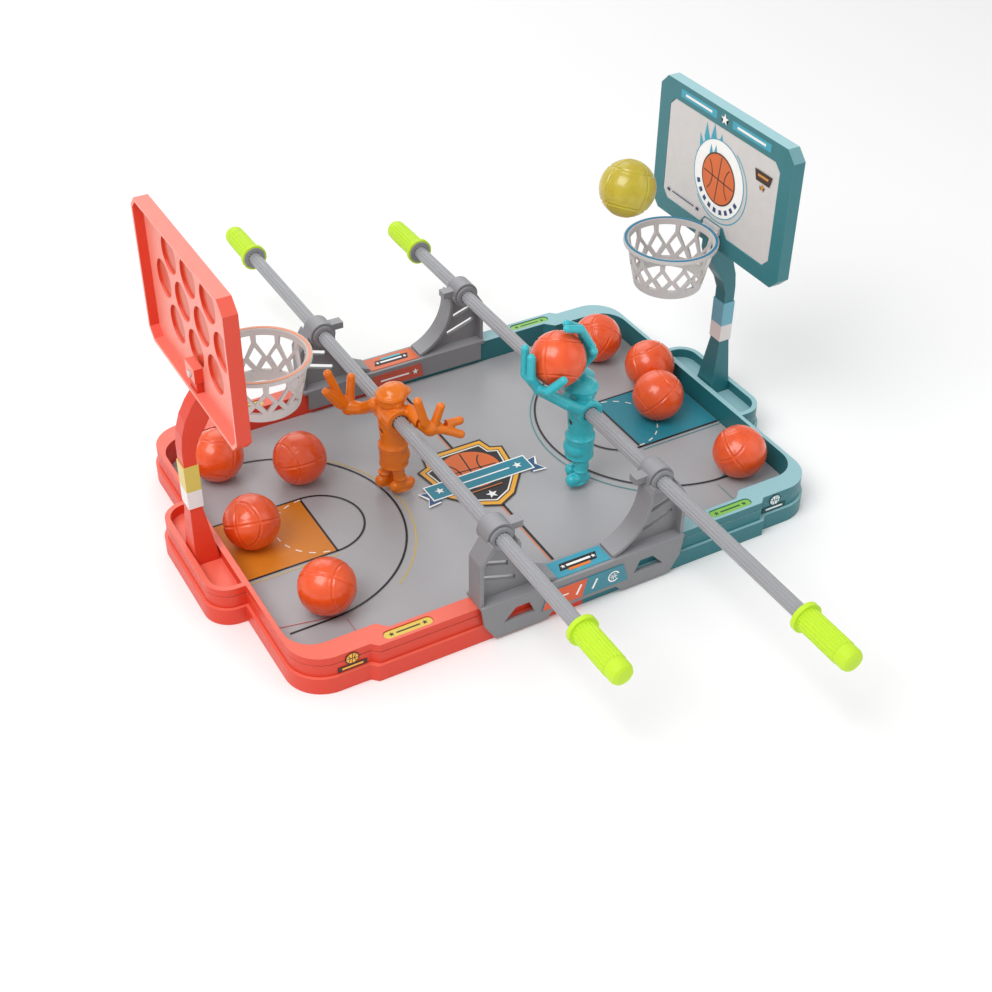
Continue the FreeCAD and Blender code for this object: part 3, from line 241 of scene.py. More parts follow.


# Deep, even colour on the walls under a paler rim: the faces that look up are painted paler, a painted
# highlight from the light above.
red_abs = moulded_plastic("red ABS, satin moulded", "#DE3A1E", "#F29482", lit_top_colour="#EE6E5A")
teal_abs = moulded_plastic("teal ABS, satin moulded", "#24727A", "#9CCBD1", lit_top_colour="#9CC9D0")
finish(red_abs, "tray_red")
finish(teal_abs, "tray_teal")

# ---------------------------------------------------------------- printing
# Screen-printed ink on the playing sheet, the boards and the labels: thin flat
# films with crisp edges, each colour laid over the last.

INK_STEP_MM = 0.05
INK_CLOUD_MM = 5
BLACK = "#1B1B1D"
WHITE = "#F3F3F1"
INKS = {}


def ink(code):
    """A dry ink film: nearly even colour, a little mottled, and rougher than the sheet."""
    if code not in INKS:
        material, tree, shader = new_material("screen ink " + code[1:])
        place = add(tree, "TexCoord").outputs["Object"]
        cloud = add(tree, "TexNoise", inputs={"Vector": place, "Scale": 1000 / INK_CLOUD_MM, "Detail": 4.0})
        thin = [min(1.0, c * 1.12 + 0.004) for c in linear(code)[:3]] + [1.0]
        tree.links.new(blend(tree, cloud.outputs[0], linear(code), thin), shader.inputs["Base Color"])
        gloss = add(tree, "MapRange", inputs={"Value": cloud.outputs[0], "To Min": 0.42, "To Max": 0.58})
        tree.links.new(gloss.outputs[0], shader.inputs["Roughness"])
        INKS[code] = material
    return INKS[code]


def bar(x0, y0, x1, y1, width):
    """A straight line of ink."""
    run = Vector((x1 - x0, y1 - y0)).normalized()
    side = Vector((-run.y, run.x)) * width / 2
    ends = [Vector((x0, y0)), Vector((x1, y1))]
    return [[ends[0] - side, ends[1] - side, ends[1] + side, ends[0] + side]]


def arc(x, y, radius, start, stop, width, dashes=0):
    """A curved line of ink, in degrees, whole or broken into dashes."""
    steps = max(8, int(abs(stop - start) / 3))
    inner, outer = radius - width / 2, radius + width / 2
    quads = []
    for step in range(steps):
        if dashes and int(step * dashes * 2 / steps) % 2:
            continue
        here, there = [math.radians(start + (stop - start) * (step + k) / steps) for k in (0, 1)]
        quads.append([(x + r * math.cos(a), y + r * math.sin(a))
                      for a, r in ((here, inner), (here, outer), (there, outer), (there, inner))])
    return quads


def disc(x, y, radius, squash=1.0, sides=48):
    """A filled circle of ink."""
    angles = [math.tau * step / sides for step in range(sides)]
    return [[(x + radius * math.cos(a), y + radius * squash * math.sin(a)) for a in angles]]


def star(x, y, radius, waist=0.42):
    """A five-pointed star with one point up."""
    points = []
    for step in range(10):
        a = math.radians(90.0 + 36 * step)
        r = radius if step % 2 == 0 else radius * waist
        points.append((x + r * math.cos(a), y + r * math.sin(a)))
    return [points]


def ball_print(x, y, radius, line):
    """The four seams of a printed basketball."""
    reach = radius * 0.97
    seams = bar(x - reach, y + radius * 0.08, x + reach, y - radius * 0.08, line)
    seams += bar(x - radius * 0.1, y - reach, x + radius * 0.1, y + reach, line)
    seams += arc(x - radius * 1.25, y, radius * 0.86, -46, 46, line)
    seams += arc(x + radius * 1.25, y, radius * 0.86, 134, 226, line)
    return seams


def printed(name, body, place, layers):
    """Lays films of ink on a surface; place turns flat millimetres and lift into metres."""
    work = bmesh.new()
    mesh = bpy.data.meshes.new(name)
    codes = []
    for depth, (code, outlines) in enumerate(layers):
        if code not in codes:
            codes.append(code)
            mesh.materials.append(ink(code))
        for outline in outlines:
            corners = [work.verts.new(place(p[0], p[1], (depth + 1) * INK_STEP_MM)) for p in outline]
            work.faces.new(corners).material_index = codes.index(code)
    bmesh.ops.triangulate(work, faces=[f for f in work.faces if len(f.verts) > 4])
    work.to_mesh(mesh)
    work.free()
    piece = put(name, mesh)
    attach(piece, body)
    return piece


# ---------------------------------------------------------------- playing sheet
# A grey printed plastic sheet that lies on the shelf of both tray halves, with a
# small basketball court on it: keys, arcs and a shield in the middle.

LINE = 1.4
COURT_SHIFT = 3.0
COURT_EDGE = 116.2
KEY_FRONT = 111.5
KEY_HALF_WIDTH = 29.0
KEY_BACK = 174.6
ARC_MIDDLE = 142.5
ARC_RADIUS = 83.0
CORNER_LINE = 132.5
CORNER_END = 110.4
FIELD_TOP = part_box("playing_surface")[1].z

# Slow clouds of grey with a fine speck, and streaks in the gloss where balls have rolled.
sheet, tree, shader = new_material("polystyrene sheet, printed grey, semi-matt")
place = add(tree, "TexCoord").outputs["Object"]
cloud = add(tree, "TexNoise", inputs={"Vector": place, "Scale": 1000 / 90, "Detail": 3.0})
speck = add(tree, "TexNoise", inputs={"Vector": place, "Scale": 1000 / 0.9, "Detail": 2.0})
streak = add(tree, "TexNoise", inputs={"Vector": place, "Scale": 1000 / 14, "Detail": 6.0, "Roughness": 0.75})
tone = blend(tree, cloud.outputs[0], linear("#9B9C9F"), linear("#B4B4B7"))
tree.links.new(blend(tree, 0.08, tone, speck.outputs[1], "OVERLAY"), shader.inputs["Base Color"])
gloss = add(tree, "MapRange", inputs={"Value": streak.outputs[0], "To Min": 0.28, "To Max": 0.52})
tree.links.new(gloss.outputs[0], shader.inputs["Roughness"])
finish(sheet, "playing_surface")


def on_court(x, y, lift):
    return Vector((x * MM, y * MM, FIELD_TOP + lift * MM))


def court_half(side, fill, guide, corner_code):
    """Key, free-throw circle and three-point line of one half; side is -1 or 1."""
    middle = COURT_SHIFT
    low, high = middle - KEY_HALF_WIDTH, middle + KEY_HALF_WIDTH
    front, back = side * KEY_FRONT, side * KEY_BACK
    key = [[(front, low), (back, low), (back, high), (front, high)]]
    edges = bar(front, low - LINE / 2, front, high + LINE / 2, LINE)
    edges += bar(front, low, back, low, LINE) + bar(front, high, back, high, LINE)
    start, stop = (-90, 90) if side < 0 else (90, 270)
    edges += arc(front, middle, KEY_HALF_WIDTH, start, stop, LINE)
    edges += arc(side * ARC_MIDDLE, middle, ARC_RADIUS, start, stop, LINE)
    dashes = arc(front, middle, KEY_HALF_WIDTH - 1.5, start + 180, stop + 180, 0.9, 10)
    trim = arc(side * ARC_MIDDLE, middle - 3, ARC_RADIUS + 4.5, start + 35, stop - 35, 0.8)
    trim += bar(front, low - 3.2, back, low - 3.2, 0.7)
    for end in (-1, 1):
        y = middle + end * ARC_RADIUS
        edges += bar(side * ARC_MIDDLE, y, side * (KEY_BACK - 8), y, LINE)
    x = side * CORNER_LINE
    corner = bar(x, middle - ARC_RADIUS, side * (KEY_BACK - 2), middle - ARC_RADIUS + 8, 0.6)
    corner += bar(x, -CORNER_END, x, -84, 0.4) + bar(x, 90, x, CORNER_END, 0.4)
    return [(guide, trim), (corner_code, corner), (fill, key), (BLACK, edges), ("#EDE6DA", dashes)]


SHIELD_SHIFT = -1.5
SHIELD_STEPS = 12
SHIELD = [(0, -36.5), (14, -29.5), (27.5, -13), (29.5, 4), (32, 19.5), (24.5, 22.5), (22, 33),
          (-22, 33), (-24.5, 22.5), (-32, 19.5), (-29.5, 4), (-27.5, -13), (-14, -29.5)]
SHIELD_BALL = 6
RIBBON = [(-37, -11.5), (36, -11.5), (36, 2.2), (-37, 2.2)]
RIBBON_TAIL = [(33, -3.5), (42.5, -2), (39, -8.5), (42.5, -15.5), (33, -14.5)]
RIBBON_LINE = -4.6


def centre_emblem():
    """A plain shield with a basketball, a ribbon and a star."""
    rings = [(BLACK, 1.0), ("#E9A92E", 0.955), (BLACK, 0.86), ("#F0ECE6", 0.835), (BLACK, 0.80)]
    tails = [[(side * x, y) for x, y in RIBBON_TAIL] for side in (-1, 1)]
    tail_rims = [[(x * 1.03, y - 0.6 + 1.3 * (y > -8) - 0.8 * (y < -8)) for x, y in tail] for tail in tails]
    return [(code, [[(SHIELD_SHIFT + x * ratio, y * ratio) for x, y in SHIELD]]) for code, ratio in rings] + [
        ("#D9682A", disc(SHIELD_SHIFT, SHIELD_BALL, 21, 0.92)),
        (BLACK, ball_print(SHIELD_SHIFT, SHIELD_BALL, 19, 1.0)),
        (WHITE, tail_rims),
        ("#23507A", tails),
        (WHITE, [[(x * 1.025, -12.6 if y < 0 else 3.3) for x, y in RIBBON]]),
        ("#1F8096", [RIBBON]),
        (WHITE, bar(-24, RIBBON_LINE, 22, RIBBON_LINE, 1.2)
         + star(-29.5, RIBBON_LINE, 3.4) + star(28, RIBBON_LINE, 3.4)),
        (WHITE, star(SHIELD_SHIFT, -23.5, 4.2)),
        ("#C9702B", bar(-13, -16.5, 10, -16.5, 0.9)),
    ]


court = [("#D8784A", bar(-1.7, -COURT_EDGE, -1.7, COURT_EDGE, 1.0)),
         (BLACK, bar(0, -COURT_EDGE, 0, COURT_EDGE, 1.9))]
court += court_half(-1, "#CC7A18", "#CDB04A", "#B03A30")
court += court_half(1, "#248497", "#3E8C92", "#3E8C92")
printed("court_print", "frame", on_court, court)
shield = printed("shield_print", "frame", on_court, centre_emblem())
shield.location.z += SHIELD_STEPS * INK_STEP_MM * MM

# ---------------------------------------------------------------- rim pills
# Printed film labels in long recesses in the rims, yellow on red and green on
# teal, with a plain band and two stars where a name could go.

PILL_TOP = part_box("pill_red_front")[1].z
HALFTONE_MM = 0.8
FILM_CLOUD_MM = 9


def on_rim(x, y, lift):
    return Vector((x * MM, y * MM, PILL_TOP + lift * MM))


def film_label(name, face):
    """Printed film: bright even colour under a clear coat, with a halftone that shows close up."""
    material, tree, shader = new_material(name)
    shader.inputs["Roughness"].default_value = 0.38
    shader.inputs["Coat Weight"].default_value = 0.25
    place = add(tree, "TexCoord").outputs["Object"]
    dots = add(tree, "TexVoronoi", inputs={"Vector": place, "Scale": 1000 / HALFTONE_MM})
    cloud = add(tree, "TexNoise", inputs={"Vector": place, "Scale": 1000 / FILM_CLOUD_MM, "Detail": 3.0})
    deep = [c * 0.9 for c in linear(face)[:3]] + [1.0]
    tone = blend(tree, cloud.outputs[0], deep, linear(face))
    raster = blend(tree, 0.06, tone, dots.outputs["Color"], "MULTIPLY")
    tree.links.new(raster, shader.inputs["Base Color"])
    return material


# Two light, warm and fresh accents that stand out from the rims.
yellow_film = film_label("printed film, yellow", "#E3C64A")
green_film = film_label("printed film, green", "#8CCB57")
for colour, film, dark in (("red", yellow_film, "#3A2E14"), ("teal", green_film, "#1F4A2C")):
    for player in ("front", "rear"):
        label = "pill_%s_%s" % (colour, player)
        finish(film, label)
        low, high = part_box(label)
        x, y = (low.x + high.x) / 2 / MM, (low.y + high.y) / 2 / MM
        marks = bar(x - 7.5, y, x + 7.5, y, 1.1) + star(x - 10.5, y, 1.9) + star(x + 10.5, y, 1.9)
        printed(label + "_print", "frame", on_rim, [(dark, marks)])

# ---------------------------------------------------------------- bridges and rod caps
# Grey ABS saddles snapped over the long walls, with a fine spark-eroded grain,
# and the half rings that snap over the bushes.

# Duller and coarser than the tray, so the bridges look dry and technical beside it.
# Faces that look up are painted a paler grey: a painted highlight from above.
grey_abs = moulded_plastic("grey ABS, spark-eroded grain", "#858588", "#B9B9BC", lit_top_colour="#9C9CA0",
                           rough=0.46, grain_mm=0.6, relief=0.3, edge=0.5)
finish(grey_abs, "bridge_front", "bridge_rear")
for side in ("left", "right"):
    for player in ("front", "rear"):
        finish(grey_abs, "rod_cap_%s_%s" % (side, player))

# Bright plates on the grey: each player's colour on top, both colours outside, rust inside.
top_films = {"front": film_label("printed film, sky teal", "#3FA7C0"),
             "rear": film_label("printed film, orange", "#E4652A")}
side_film = film_label("printed film, teal side", "#2D8698")
inner_film = film_label("printed film, rust", "#C9523A")
for player, sign, under in (("front", -1, "#E07A2C"), ("rear", 1, "#57B7C9")):
    finish(top_films[player], "top_label_" + player)
    finish(side_film, "side_label_" + player)
    finish(inner_film, "inner_label_" + player)
    low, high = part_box("top_label_" + player)
    top_height, middle = high.z, (low.y + high.y) / 2 / MM

    def on_top(x, y, lift, height=top_height, middle=middle, sign=sign):
        return Vector((-sign * x * MM, (middle - sign * y) * MM, height + lift * MM))

    slab = [(-14, -2.6), (11.5, -2.6), (14, 3.4), (-11.5, 3.4)]
    shadow = [(-9, -4.4), (6, -4.4), (7, -2.2), (-8, -2.2)]
    printed("top_print_" + player, "frame", on_top,
            [(BLACK, [slab]), (under, [shadow]),
             (WHITE, bar(-8, 0.4, 8.5, 0.4, 1.8) + star(-10.4, 0.4, 1.7) + star(10.6, 0.4, 1.7))])

    low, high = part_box("side_label_" + player)
    outer = low.y if sign < 0 else high.y
    foot, head = low.z / MM, high.z / MM
    middle_z = (foot + head) / 2

    def on_side(x, z, lift, outer=outer, sign=sign):
        return Vector((-sign * x * MM, outer + sign * lift * MM, z * MM))

    half = [(-29.6, foot + 0.1), (-2.5, foot + 0.1), (0.8, head - 0.1), (-25.7, head - 0.1)]
    slashes = bar(-6.5, middle_z - 3.4, -3.4, middle_z + 3.4, 1.4)
    slashes += bar(4.6, middle_z - 3.4, 7.7, middle_z + 3.4, 1.4)
    ball_ring = arc(19.5, middle_z, 3.6, 20, 320, 0.9)
    printed("side_print_" + player, "frame", on_side,
            [("#D9582F", [half]),
             (WHITE, slashes + ball_ring + bar(-22, middle_z, -12, middle_z, 0.9)),
             (WHITE, ball_print(19.5, middle_z, 2.6, 0.5))])

    low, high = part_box("inner_label_" + player)
    inner = high.y if sign < 0 else low.y
    middle_z = (low.z / MM + high.z / MM) / 2

    def on_inner(x, z, lift, inner=inner, sign=sign):
        return Vector((sign * x * MM, inner - sign * lift * MM, z * MM))

    printed("inner_print_" + player, "frame", on_inner,
            [(WHITE, bar(-13, middle_z, 9, middle_z, 1.3) + star(14, middle_z, 2.6))])

# ---------------------------------------------------------------- rods, bushes and grips
# Fluted polypropylene tubes, grey with a waxy gloss, that slide and spin in grey
# acetal bushes. The ribbed grips are soft lime PVC with a matt skin.

# The waxy gloss draws long soft highlights down the flutes.
rod_plastic = moulded_plastic("grey polypropylene, extruded, waxy", "#A2A3A7", "#DADADE", rough=0.2,
                              grain_mm=2.5, relief=0.02, edge=0.15)
# A shade darker than the rods, so the bushes read as separate rings.
bush_plastic = moulded_plastic("grey acetal, smooth", "#8E8F93", "#BFC0C4", rough=0.3)
# Vivid and soft: light soaks in a little, and the skin hardly shines.
grip_vinyl = moulded_plastic("lime PVC, matt", "#C4EA22", "#DFFA5C", rough=0.5, grain_mm=0.7, relief=0.2,
                             glow=0.12, glow_mm=2.0)
for side in ("left", "right"):
    finish(rod_plastic, "rod_" + side)
    for player in ("front", "rear"):
        finish(bush_plastic, "bush_%s_%s" % (side, player))
        finish(grip_vinyl, "grip_%s_%s" % (side, player))

# A grey moulded washer closes the mouth of each grip round the rod.

PLUG_HOLE_MM = 4.6
PLUG_RADIUS_MM = 7.9
PLUG_DEPTH_MM = 0.5
PLUG_CHAMFER_MM = 0.3
PLUG_SIDES = 64


def grip_plug(side, player):
    """A thin ring with a chamfered edge, on the grip's flange."""
    low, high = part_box("grip_%s_%s" % (side, player))
    x, z = (low.x + high.x) / 2, (low.z + high.z) / 2
    face, out = (high.y, 1) if player == "front" else (low.y, -1)
    ring = [(PLUG_HOLE_MM, 0), (PLUG_HOLE_MM, PLUG_DEPTH_MM),
            (PLUG_RADIUS_MM - PLUG_CHAMFER_MM, PLUG_DEPTH_MM),
            (PLUG_RADIUS_MM, PLUG_DEPTH_MM - PLUG_CHAMFER_MM), (PLUG_RADIUS_MM, 0)]
    work = bmesh.new()
    rows = []
    for step in range(PLUG_SIDES):
        angle = math.tau * step / PLUG_SIDES
        rows.append([work.verts.new((x + r * math.cos(angle) * MM, face + out * depth * MM,
                                     z + r * math.sin(angle) * MM)) for r, depth in ring])
    for step in range(PLUG_SIDES):
        here, there = rows[step], rows[(step + 1) % PLUG_SIDES]
        for index in range(len(ring)):
            follow = (index + 1) % len(ring)
            work.faces.new((here[index], there[index], there[follow], here[follow]))
    bmesh.ops.recalc_face_normals(work, faces=work.faces)
    mesh = bpy.data.meshes.new("grip_plug")
    work.to_mesh(mesh)
    work.free()
    mesh.materials.append(bush_plastic)
    piece = put("grip_plug_%s_%s" % (side, player), mesh)
    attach(piece, "player_" + side)


for side in ("left", "right"):
    for player in ("front", "rear"):
        grip_plug(side, player)

# ---------------------------------------------------------------- figures
# One-piece moulded players in soft-edged plastic: the parts flow into each other
# as a moulding does. A steel screw in the back clamps each to its rod.

# Candy-bright and glossy: sharp highlights on the heads, and thin limbs that glow.
orange_figure = moulded_plastic("orange ABS, glossy moulded", "#EC7A0C", "#FFB45A", rough=0.18,
                                grain_mm=3.0, relief=0.02, glow=0.1, glow_mm=2.5)
cyan_figure = moulded_plastic("cyan ABS, glossy moulded", "#36BDC9", "#9DE9EE", rough=0.2,
                              grain_mm=3.0, relief=0.02, glow=0.1, glow_mm=2.5)
# A small cold glint in the figure's back.
steel, tree, shader = new_material("steel, zinc plated")
shader.inputs["Metallic"].default_value = 1.0
cloud = add(tree, "TexNoise", inputs={"Scale": 1000 / 1.5, "Detail": 4.0})
tone = blend(tree, cloud.outputs[0], linear("#6E6E72"), linear("#A8A8AC"))
tree.links.new(tone, shader.inputs["Base Color"])
gloss = add(tree, "MapRange", inputs={"Value": cloud.outputs[0], "To Min": 0.25, "To Max": 0.45})
tree.links.new(gloss.outputs[0], shader.inputs["Roughness"])
finish(steel, "figure_orange_screw", "figure_cyan_screw")

# Details are measured in millimetres from the middle of the figure's bore: forward, across, up.

FIGURE_GRAIN_MM = 0.55
ROD_OUT_MM = 54.1
ROD_HEIGHT_MM = 70.0
HEAD_LUMPS = [
    ((1.6, 0, 15.5), (9.6, 8.9, 5.8)),  # hair
    ((8.8, 0, 9.0), (1.5, 1.5, 2.0)),  # nose
    ((7.6, 3.1, 11.2), (1.2, 2.2, 0.8)),  # brows
    ((7.6, -3.1, 11.2), (1.2, 2.2, 0.8)),
    ((7.0, 0, 5.9), (1.6, 3.2, 0.8)),  # mouth
    ((0.5, 9.0, 11), (1.9, 1.2, 2.6)),  # ears
    ((0.5, -9.0, 11), (1.9, 1.2, 2.6)),
]
BODY_BANDS = [
    (14.6, 9.5, 0.7),  # edge of the hair
    (-22.4, 9.3, 0.75),  # shirt hem
    (-25.2, 9.0, 0.6),  # waistband
    (-37.4, 9.0, 0.7),  # hem of the shorts
]
LEGS = [(-4.9, 1.5), (4.9, -4.0)]
BAND_TURNS = 8


def lump(work, centre, radii):
    """A rounded swelling, in millimetres, that will melt into the figure."""
    spread = Matrix.LocRotScale(Vector(centre) * MM, None, Vector(radii) * MM)
    bmesh.ops.create_uvsphere(work, u_segments=24, v_segments=14, radius=1.0, matrix=spread)


def band(work, centre, radii, thickness, sides=48):
    """A raised ring round the body, in millimetres: a hem, collar or sole."""
    rows = []
    for step in range(sides):
        angle = math.tau * step / sides
        ring = []
        for turn in range(BAND_TURNS):
            around = math.tau * turn / BAND_TURNS
            reach = [r + thickness * math.cos(around) for r in radii]
            ring.append(work.verts.new(Vector((
                centre[0] + reach[0] * math.cos(angle),
                centre[1] + reach[1] * math.sin(angle),
                centre[2] + thickness * math.sin(around))) * MM))
        rows.append(ring)
    for step in range(sides):
        for turn in range(BAND_TURNS):
            a, b, follow = rows[step], rows[(step + 1) % sides], (turn + 1) % BAND_TURNS
            work.faces.new((a[turn], b[turn], b[follow], a[follow]))


def moulded_player(name, node, body, material, facing):
    """Melts the figure's solid and its raised details into one smooth moulding."""
    low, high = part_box(node)
    screw_low, screw_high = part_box(node + "_screw")
    axis_y = (screw_low.y + screw_high.y) / 2 / MM

    def at(x, y, z):
        return (-facing * ROD_OUT_MM + x * facing, axis_y + y * facing, ROD_HEIGHT_MM + z)

    work = bmesh.new()
    work.from_mesh(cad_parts[node].data)
    for centre, radii in HEAD_LUMPS:
        lump(work, at(*centre), radii)
    for height, radius, thickness in BODY_BANDS:
        band(work, at(0, 0, height), (radius, radius), thickness)
    lump(work, at(2.5, 0, -31), (8.2, 9.2, 7.0))
    for across, forward in LEGS:
        across *= facing
        band(work, at(forward, across, -46.5), (4.1, 4.1), 0.7)
        lump(work, at(forward + 4.6, across, -52.4), (6.0, 4.3, 3.6))
        band(work, at(forward + 1.8, across, -55.8), (7.2, 3.6), 0.8)
    solid = bpy.data.meshes.new(name + "_solid")
    work.to_mesh(solid)
    work.free()
    source = put(name + "_solid", solid)
    remesh = source.modifiers.new("melt", "REMESH")
    remesh.mode = "VOXEL"
    remesh.voxel_size = FIGURE_GRAIN_MM * MM
    remesh.use_smooth_shade = True
    smooth = source.modifiers.new("soften", "SMOOTH")
    smooth.factor = 0.5
    smooth.iterations = 8
    bpy.context.view_layer.update()
    graph = bpy.context.evaluated_depsgraph_get()
    skin = bpy.data.meshes.new_from_object(source.evaluated_get(graph))
    bpy.data.objects.remove(source)
    skin.materials.clear()
    skin.materials.append(material)
    for polygon in skin.polygons:
        polygon.use_smooth = True
        polygon.material_index = 0
    # The details stay inside the solid's own box, so the game's size does not change.
    for vertex in skin.vertices:
        for index in range(3):
            vertex.co[index] = min(max(vertex.co[index], low[index]), high[index])
    piece = put(name, skin)
    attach(piece, body)
    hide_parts(node)
    return piece


orange_player = moulded_player("player_orange", "figure_orange", "player_left", orange_figure, 1)
cyan_player = moulded_player("player_cyan", "figure_cyan", "player_right", cyan_figure, -1)

# ---------------------------------------------------------------- corner badges
# Two small printed transfers on the front wall of the tray, a plain ball over a
# bar: one on the red half and one on the teal half.

BADGE_LIFT_MM = 0.35
BADGE_BALL = 20.2
BADGE_BAR = 14.4
WALL_FRONT = -0.1246


def on_front_wall(x, z, lift):
    return Vector((x * MM, WALL_FRONT - (BADGE_LIFT_MM + lift) * MM, z * MM))


for name, x, plate, mark in (("badge_red", -148, "#3A2018", "#F2B33C"),
                             ("badge_teal", 146, "#143A40", "#DDEBEA")):
    foot, head = BADGE_BAR - 1.8, BADGE_BAR + 1.8
    printed(name, "frame", on_front_wall, [
        (plate, [[(x - 9, foot), (x + 9, foot), (x + 9, head), (x - 9, head)]]
         + disc(x, BADGE_BALL, 4.4, 0.95)),
        (mark, bar(x - 6.5, BADGE_BAR, x + 6.5, BADGE_BAR, 1.3) + disc(x, BADGE_BALL, 3.6, 0.95)),
        (plate, ball_print(x, BADGE_BALL, 3.5, 0.5)),
    ])

# ---------------------------------------------------------------- posts
# Curved ABS posts in the colour of their tray half, each wrapped with a printed
# band: white below, yellow or pale blue above.

finish(red_abs, "post_left")
finish(teal_abs, "post_right")
# The bands break the post's long dark line with two light steps.
finish(film_label("printed film, white", "#E9E4E2"), "post_band_white_left", "post_band_white_right")
finish(film_label("printed film, straw", "#D9C15C"), "post_band_colour_left")
finish(film_label("printed film, pale blue", "#6FB3C6"), "post_band_colour_right")

# ---------------------------------------------------------------- backboards
# Tray-shaped ABS mouldings, open at the back, with a white printed panel let into
# the front. The print is a flaming ball with a ring round it and no words.

# The hollow back is painted paler than the front, as painted light filling an open tray, and the faces that
# look up are painted paler as painted light from above.
red_board = moulded_plastic("red ABS, satin moulded board", "#DE3F24", "#F49A8A", lit_top_colour="#F07E6E",
                            back=(-1, "#F29484"))
teal_board = moulded_plastic("teal ABS, satin moulded board", "#2A7880", "#96C8CE", lit_top_colour="#A6D2D8",
                             back=(1, "#5FA0A8"))
finish(red_board, "backboard_red")
finish(teal_board, "backboard_teal")


def backed_film(name, face, back, side):
    """White on the playing side. The back is painted a darker shade of the board's colour: painted shade of
    the hollow, seen through the holes.
    """
    material = film_label(name, face)
    tree = material.node_tree
    shader = tree.nodes["Principled BSDF"]
    front = shader.inputs["Base Color"].links[0].from_socket
    # Painted shade: faces that look away from the court are painted dark in the board's colour.
    facing = add(tree, "SeparateXYZ", inputs={0: add(tree, "NewGeometry").outputs["True Normal"]})
    test = "GREATER_THAN" if side > 0 else "LESS_THAN"
    painted_side = add(tree, "Math", {"operation": test}, {0: facing.outputs["X"], 1: 0.5 * side})
    tree.links.new(blend(tree, painted_side.outputs[0], front, linear(back)), shader.inputs["Base Color"])
    return material


finish(backed_film("printed film, white, painted orange shade behind", "#D9D5D3", "#D2451C", -1), "panel_red")
finish(backed_film("printed film, white, painted teal shade behind", "#D9D5D3", "#1F6A74", 1), "panel_teal")

EMBLEM = 180.0
FOOT_LINE = 151.5
HEAD_LINE = 220
NAVY = "#26406B"
BROWN = "#3B2418"
# Each flame has a tip, a root and a width, measured from the middle of the emblem.
FLAMES = [((-17, 32), (-12, 14), 7), ((-9, 34), (-6, 16), 7), ((-23, 23), (-15, 8), 6),
          ((-1, 30), (0, 17), 6), ((-25, 10), (-17, 0), 6), ((7, 24), (6, 16), 5)]


def flame_outlines():
    """The flames as bent five-cornered tongues."""
    tongues = []
    for tip, root, width in FLAMES:
        tip, root = Vector(tip), Vector(root)
        run = (tip - root).normalized()
        across = Vector((-run.y, run.x)) * width / 2
        bend = (tip + root) / 2 + across * 0.5
        outline = (root - across - run * 8, bend - across * 0.9, tip, bend + across * 0.7,
                   root + across - run * 8)
        tongues.append([(p.x, p.y + EMBLEM) for p in outline])
    return tongues


def on_upright(face, side):
    """A placing for prints on an upright face that looks at the court."""
    return lambda u, z, lift: Vector((face - side * lift * MM, -side * u * MM, z * MM))


for colour, side, flame in (("red", -1, "#E8663A"), ("teal", 1, "#3E9FB5")):
    low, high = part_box("panel_" + colour)
    face = low.x if side > 0 else high.x
    board_low, board_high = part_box("backboard_" + colour)
    board_face = board_low.x if side > 0 else board_high.x
    tongues = flame_outlines()
    small = [[(x * 0.62, (y - EMBLEM) * 0.62 + EMBLEM) for x, y in tongue] for tongue in tongues[:2]]
    rays = []
    for start in range(200, 340, 16):
        rays += arc(0, EMBLEM, 21.5, start, start + 8, 3.2)
    printed("emblem_" + colour, "frame", on_upright(face, side), [
        (flame, tongues),
        (flame, arc(1.5, EMBLEM - 1, 27.5, -140, 60, 0.8)),
        ("#F4F2F0", disc(0, EMBLEM, 25.5)),
        (flame, arc(0, EMBLEM, 25.5, 0, 360, 0.7)),
        (NAVY, rays),
        (flame, small),
        (BROWN, disc(0, EMBLEM, 17.2)),
        ("#D5662B", disc(0, EMBLEM, 16.2)),
        (BROWN, ball_print(0, EMBLEM, 16, 0.8)),
        (BROWN, [[(34, 203), (51, 203), (49, 196), (36, 196)]]),
        ("#C98B3B", bar(37.5, 200, 47.5, 200, 1.6) + star(42.5, 193, 2.6)),
        (NAVY, bar(-46, FOOT_LINE, -22, FOOT_LINE, 0.8)
         + star(-50, FOOT_LINE, 1.8) + star(-18, FOOT_LINE, 1.8)),
    ])
    printed("header_" + colour, "frame", on_upright(board_face, side), [
        (flame, bar(-46, HEAD_LINE, -8, HEAD_LINE, 5.2) + bar(8, HEAD_LINE, 46, HEAD_LINE, 5.2)),
        ("#EFEDEB", bar(-41, HEAD_LINE, -13, HEAD_LINE, 1.6)
         + bar(13, HEAD_LINE, 41, HEAD_LINE, 1.6) + star(0, HEAD_LINE, 4.0)),
    ])

# ---------------------------------------------------------------- hoops
# Ring and net moulded in one piece of off-white polyethylene, with a coloured
# band printed round the top of the ring.

# Milky and soft: light comes through the thin strands, and the shine is low.
net_plastic = moulded_plastic("off-white polyethylene, matt moulded", "#D2CDCB", "#EFECEA", rough=0.45,
                              grain_mm=0.8, relief=0.12, glow=0.15, glow_mm=2.0)
finish(net_plastic, "hoop_left", "hoop_right")
# One clean coloured line that marks each ring from above.
finish(film_label("ring ink, peach", "#F0996F"), "hoop_stripe_left")
finish(film_label("ring ink, blue", "#1583AB"), "hoop_stripe_right")

# ---------------------------------------------------------------- balls
# Hollow blow-moulded balls, 35 mm across, in clear-tinted soft plastic. The seams
# are shallow grooves between two low ridges, and the skin is glossy.

SEAM_WIDTH_MM = 0.6
SEAM_DEPTH_MM = 0.42
RIDGE_MM = 0.16
RIDGE_OUT = 2.2
EAR_ANGLE = math.radians(52)
FLOW_MM = 11
PEBBLE_MM = 1.1


def seam_distance(way):
    """Distance over the ball, in radians, from a point to the nearest seam."""
    ear = math.acos(max(-1.0, min(1.0, abs(way.x))))
    return min(abs(math.asin(max(-1.0, min(1.0, way.z)))), abs(math.asin(max(-1.0, min(1.0, way.y)))),
               abs(ear - EAR_ANGLE))


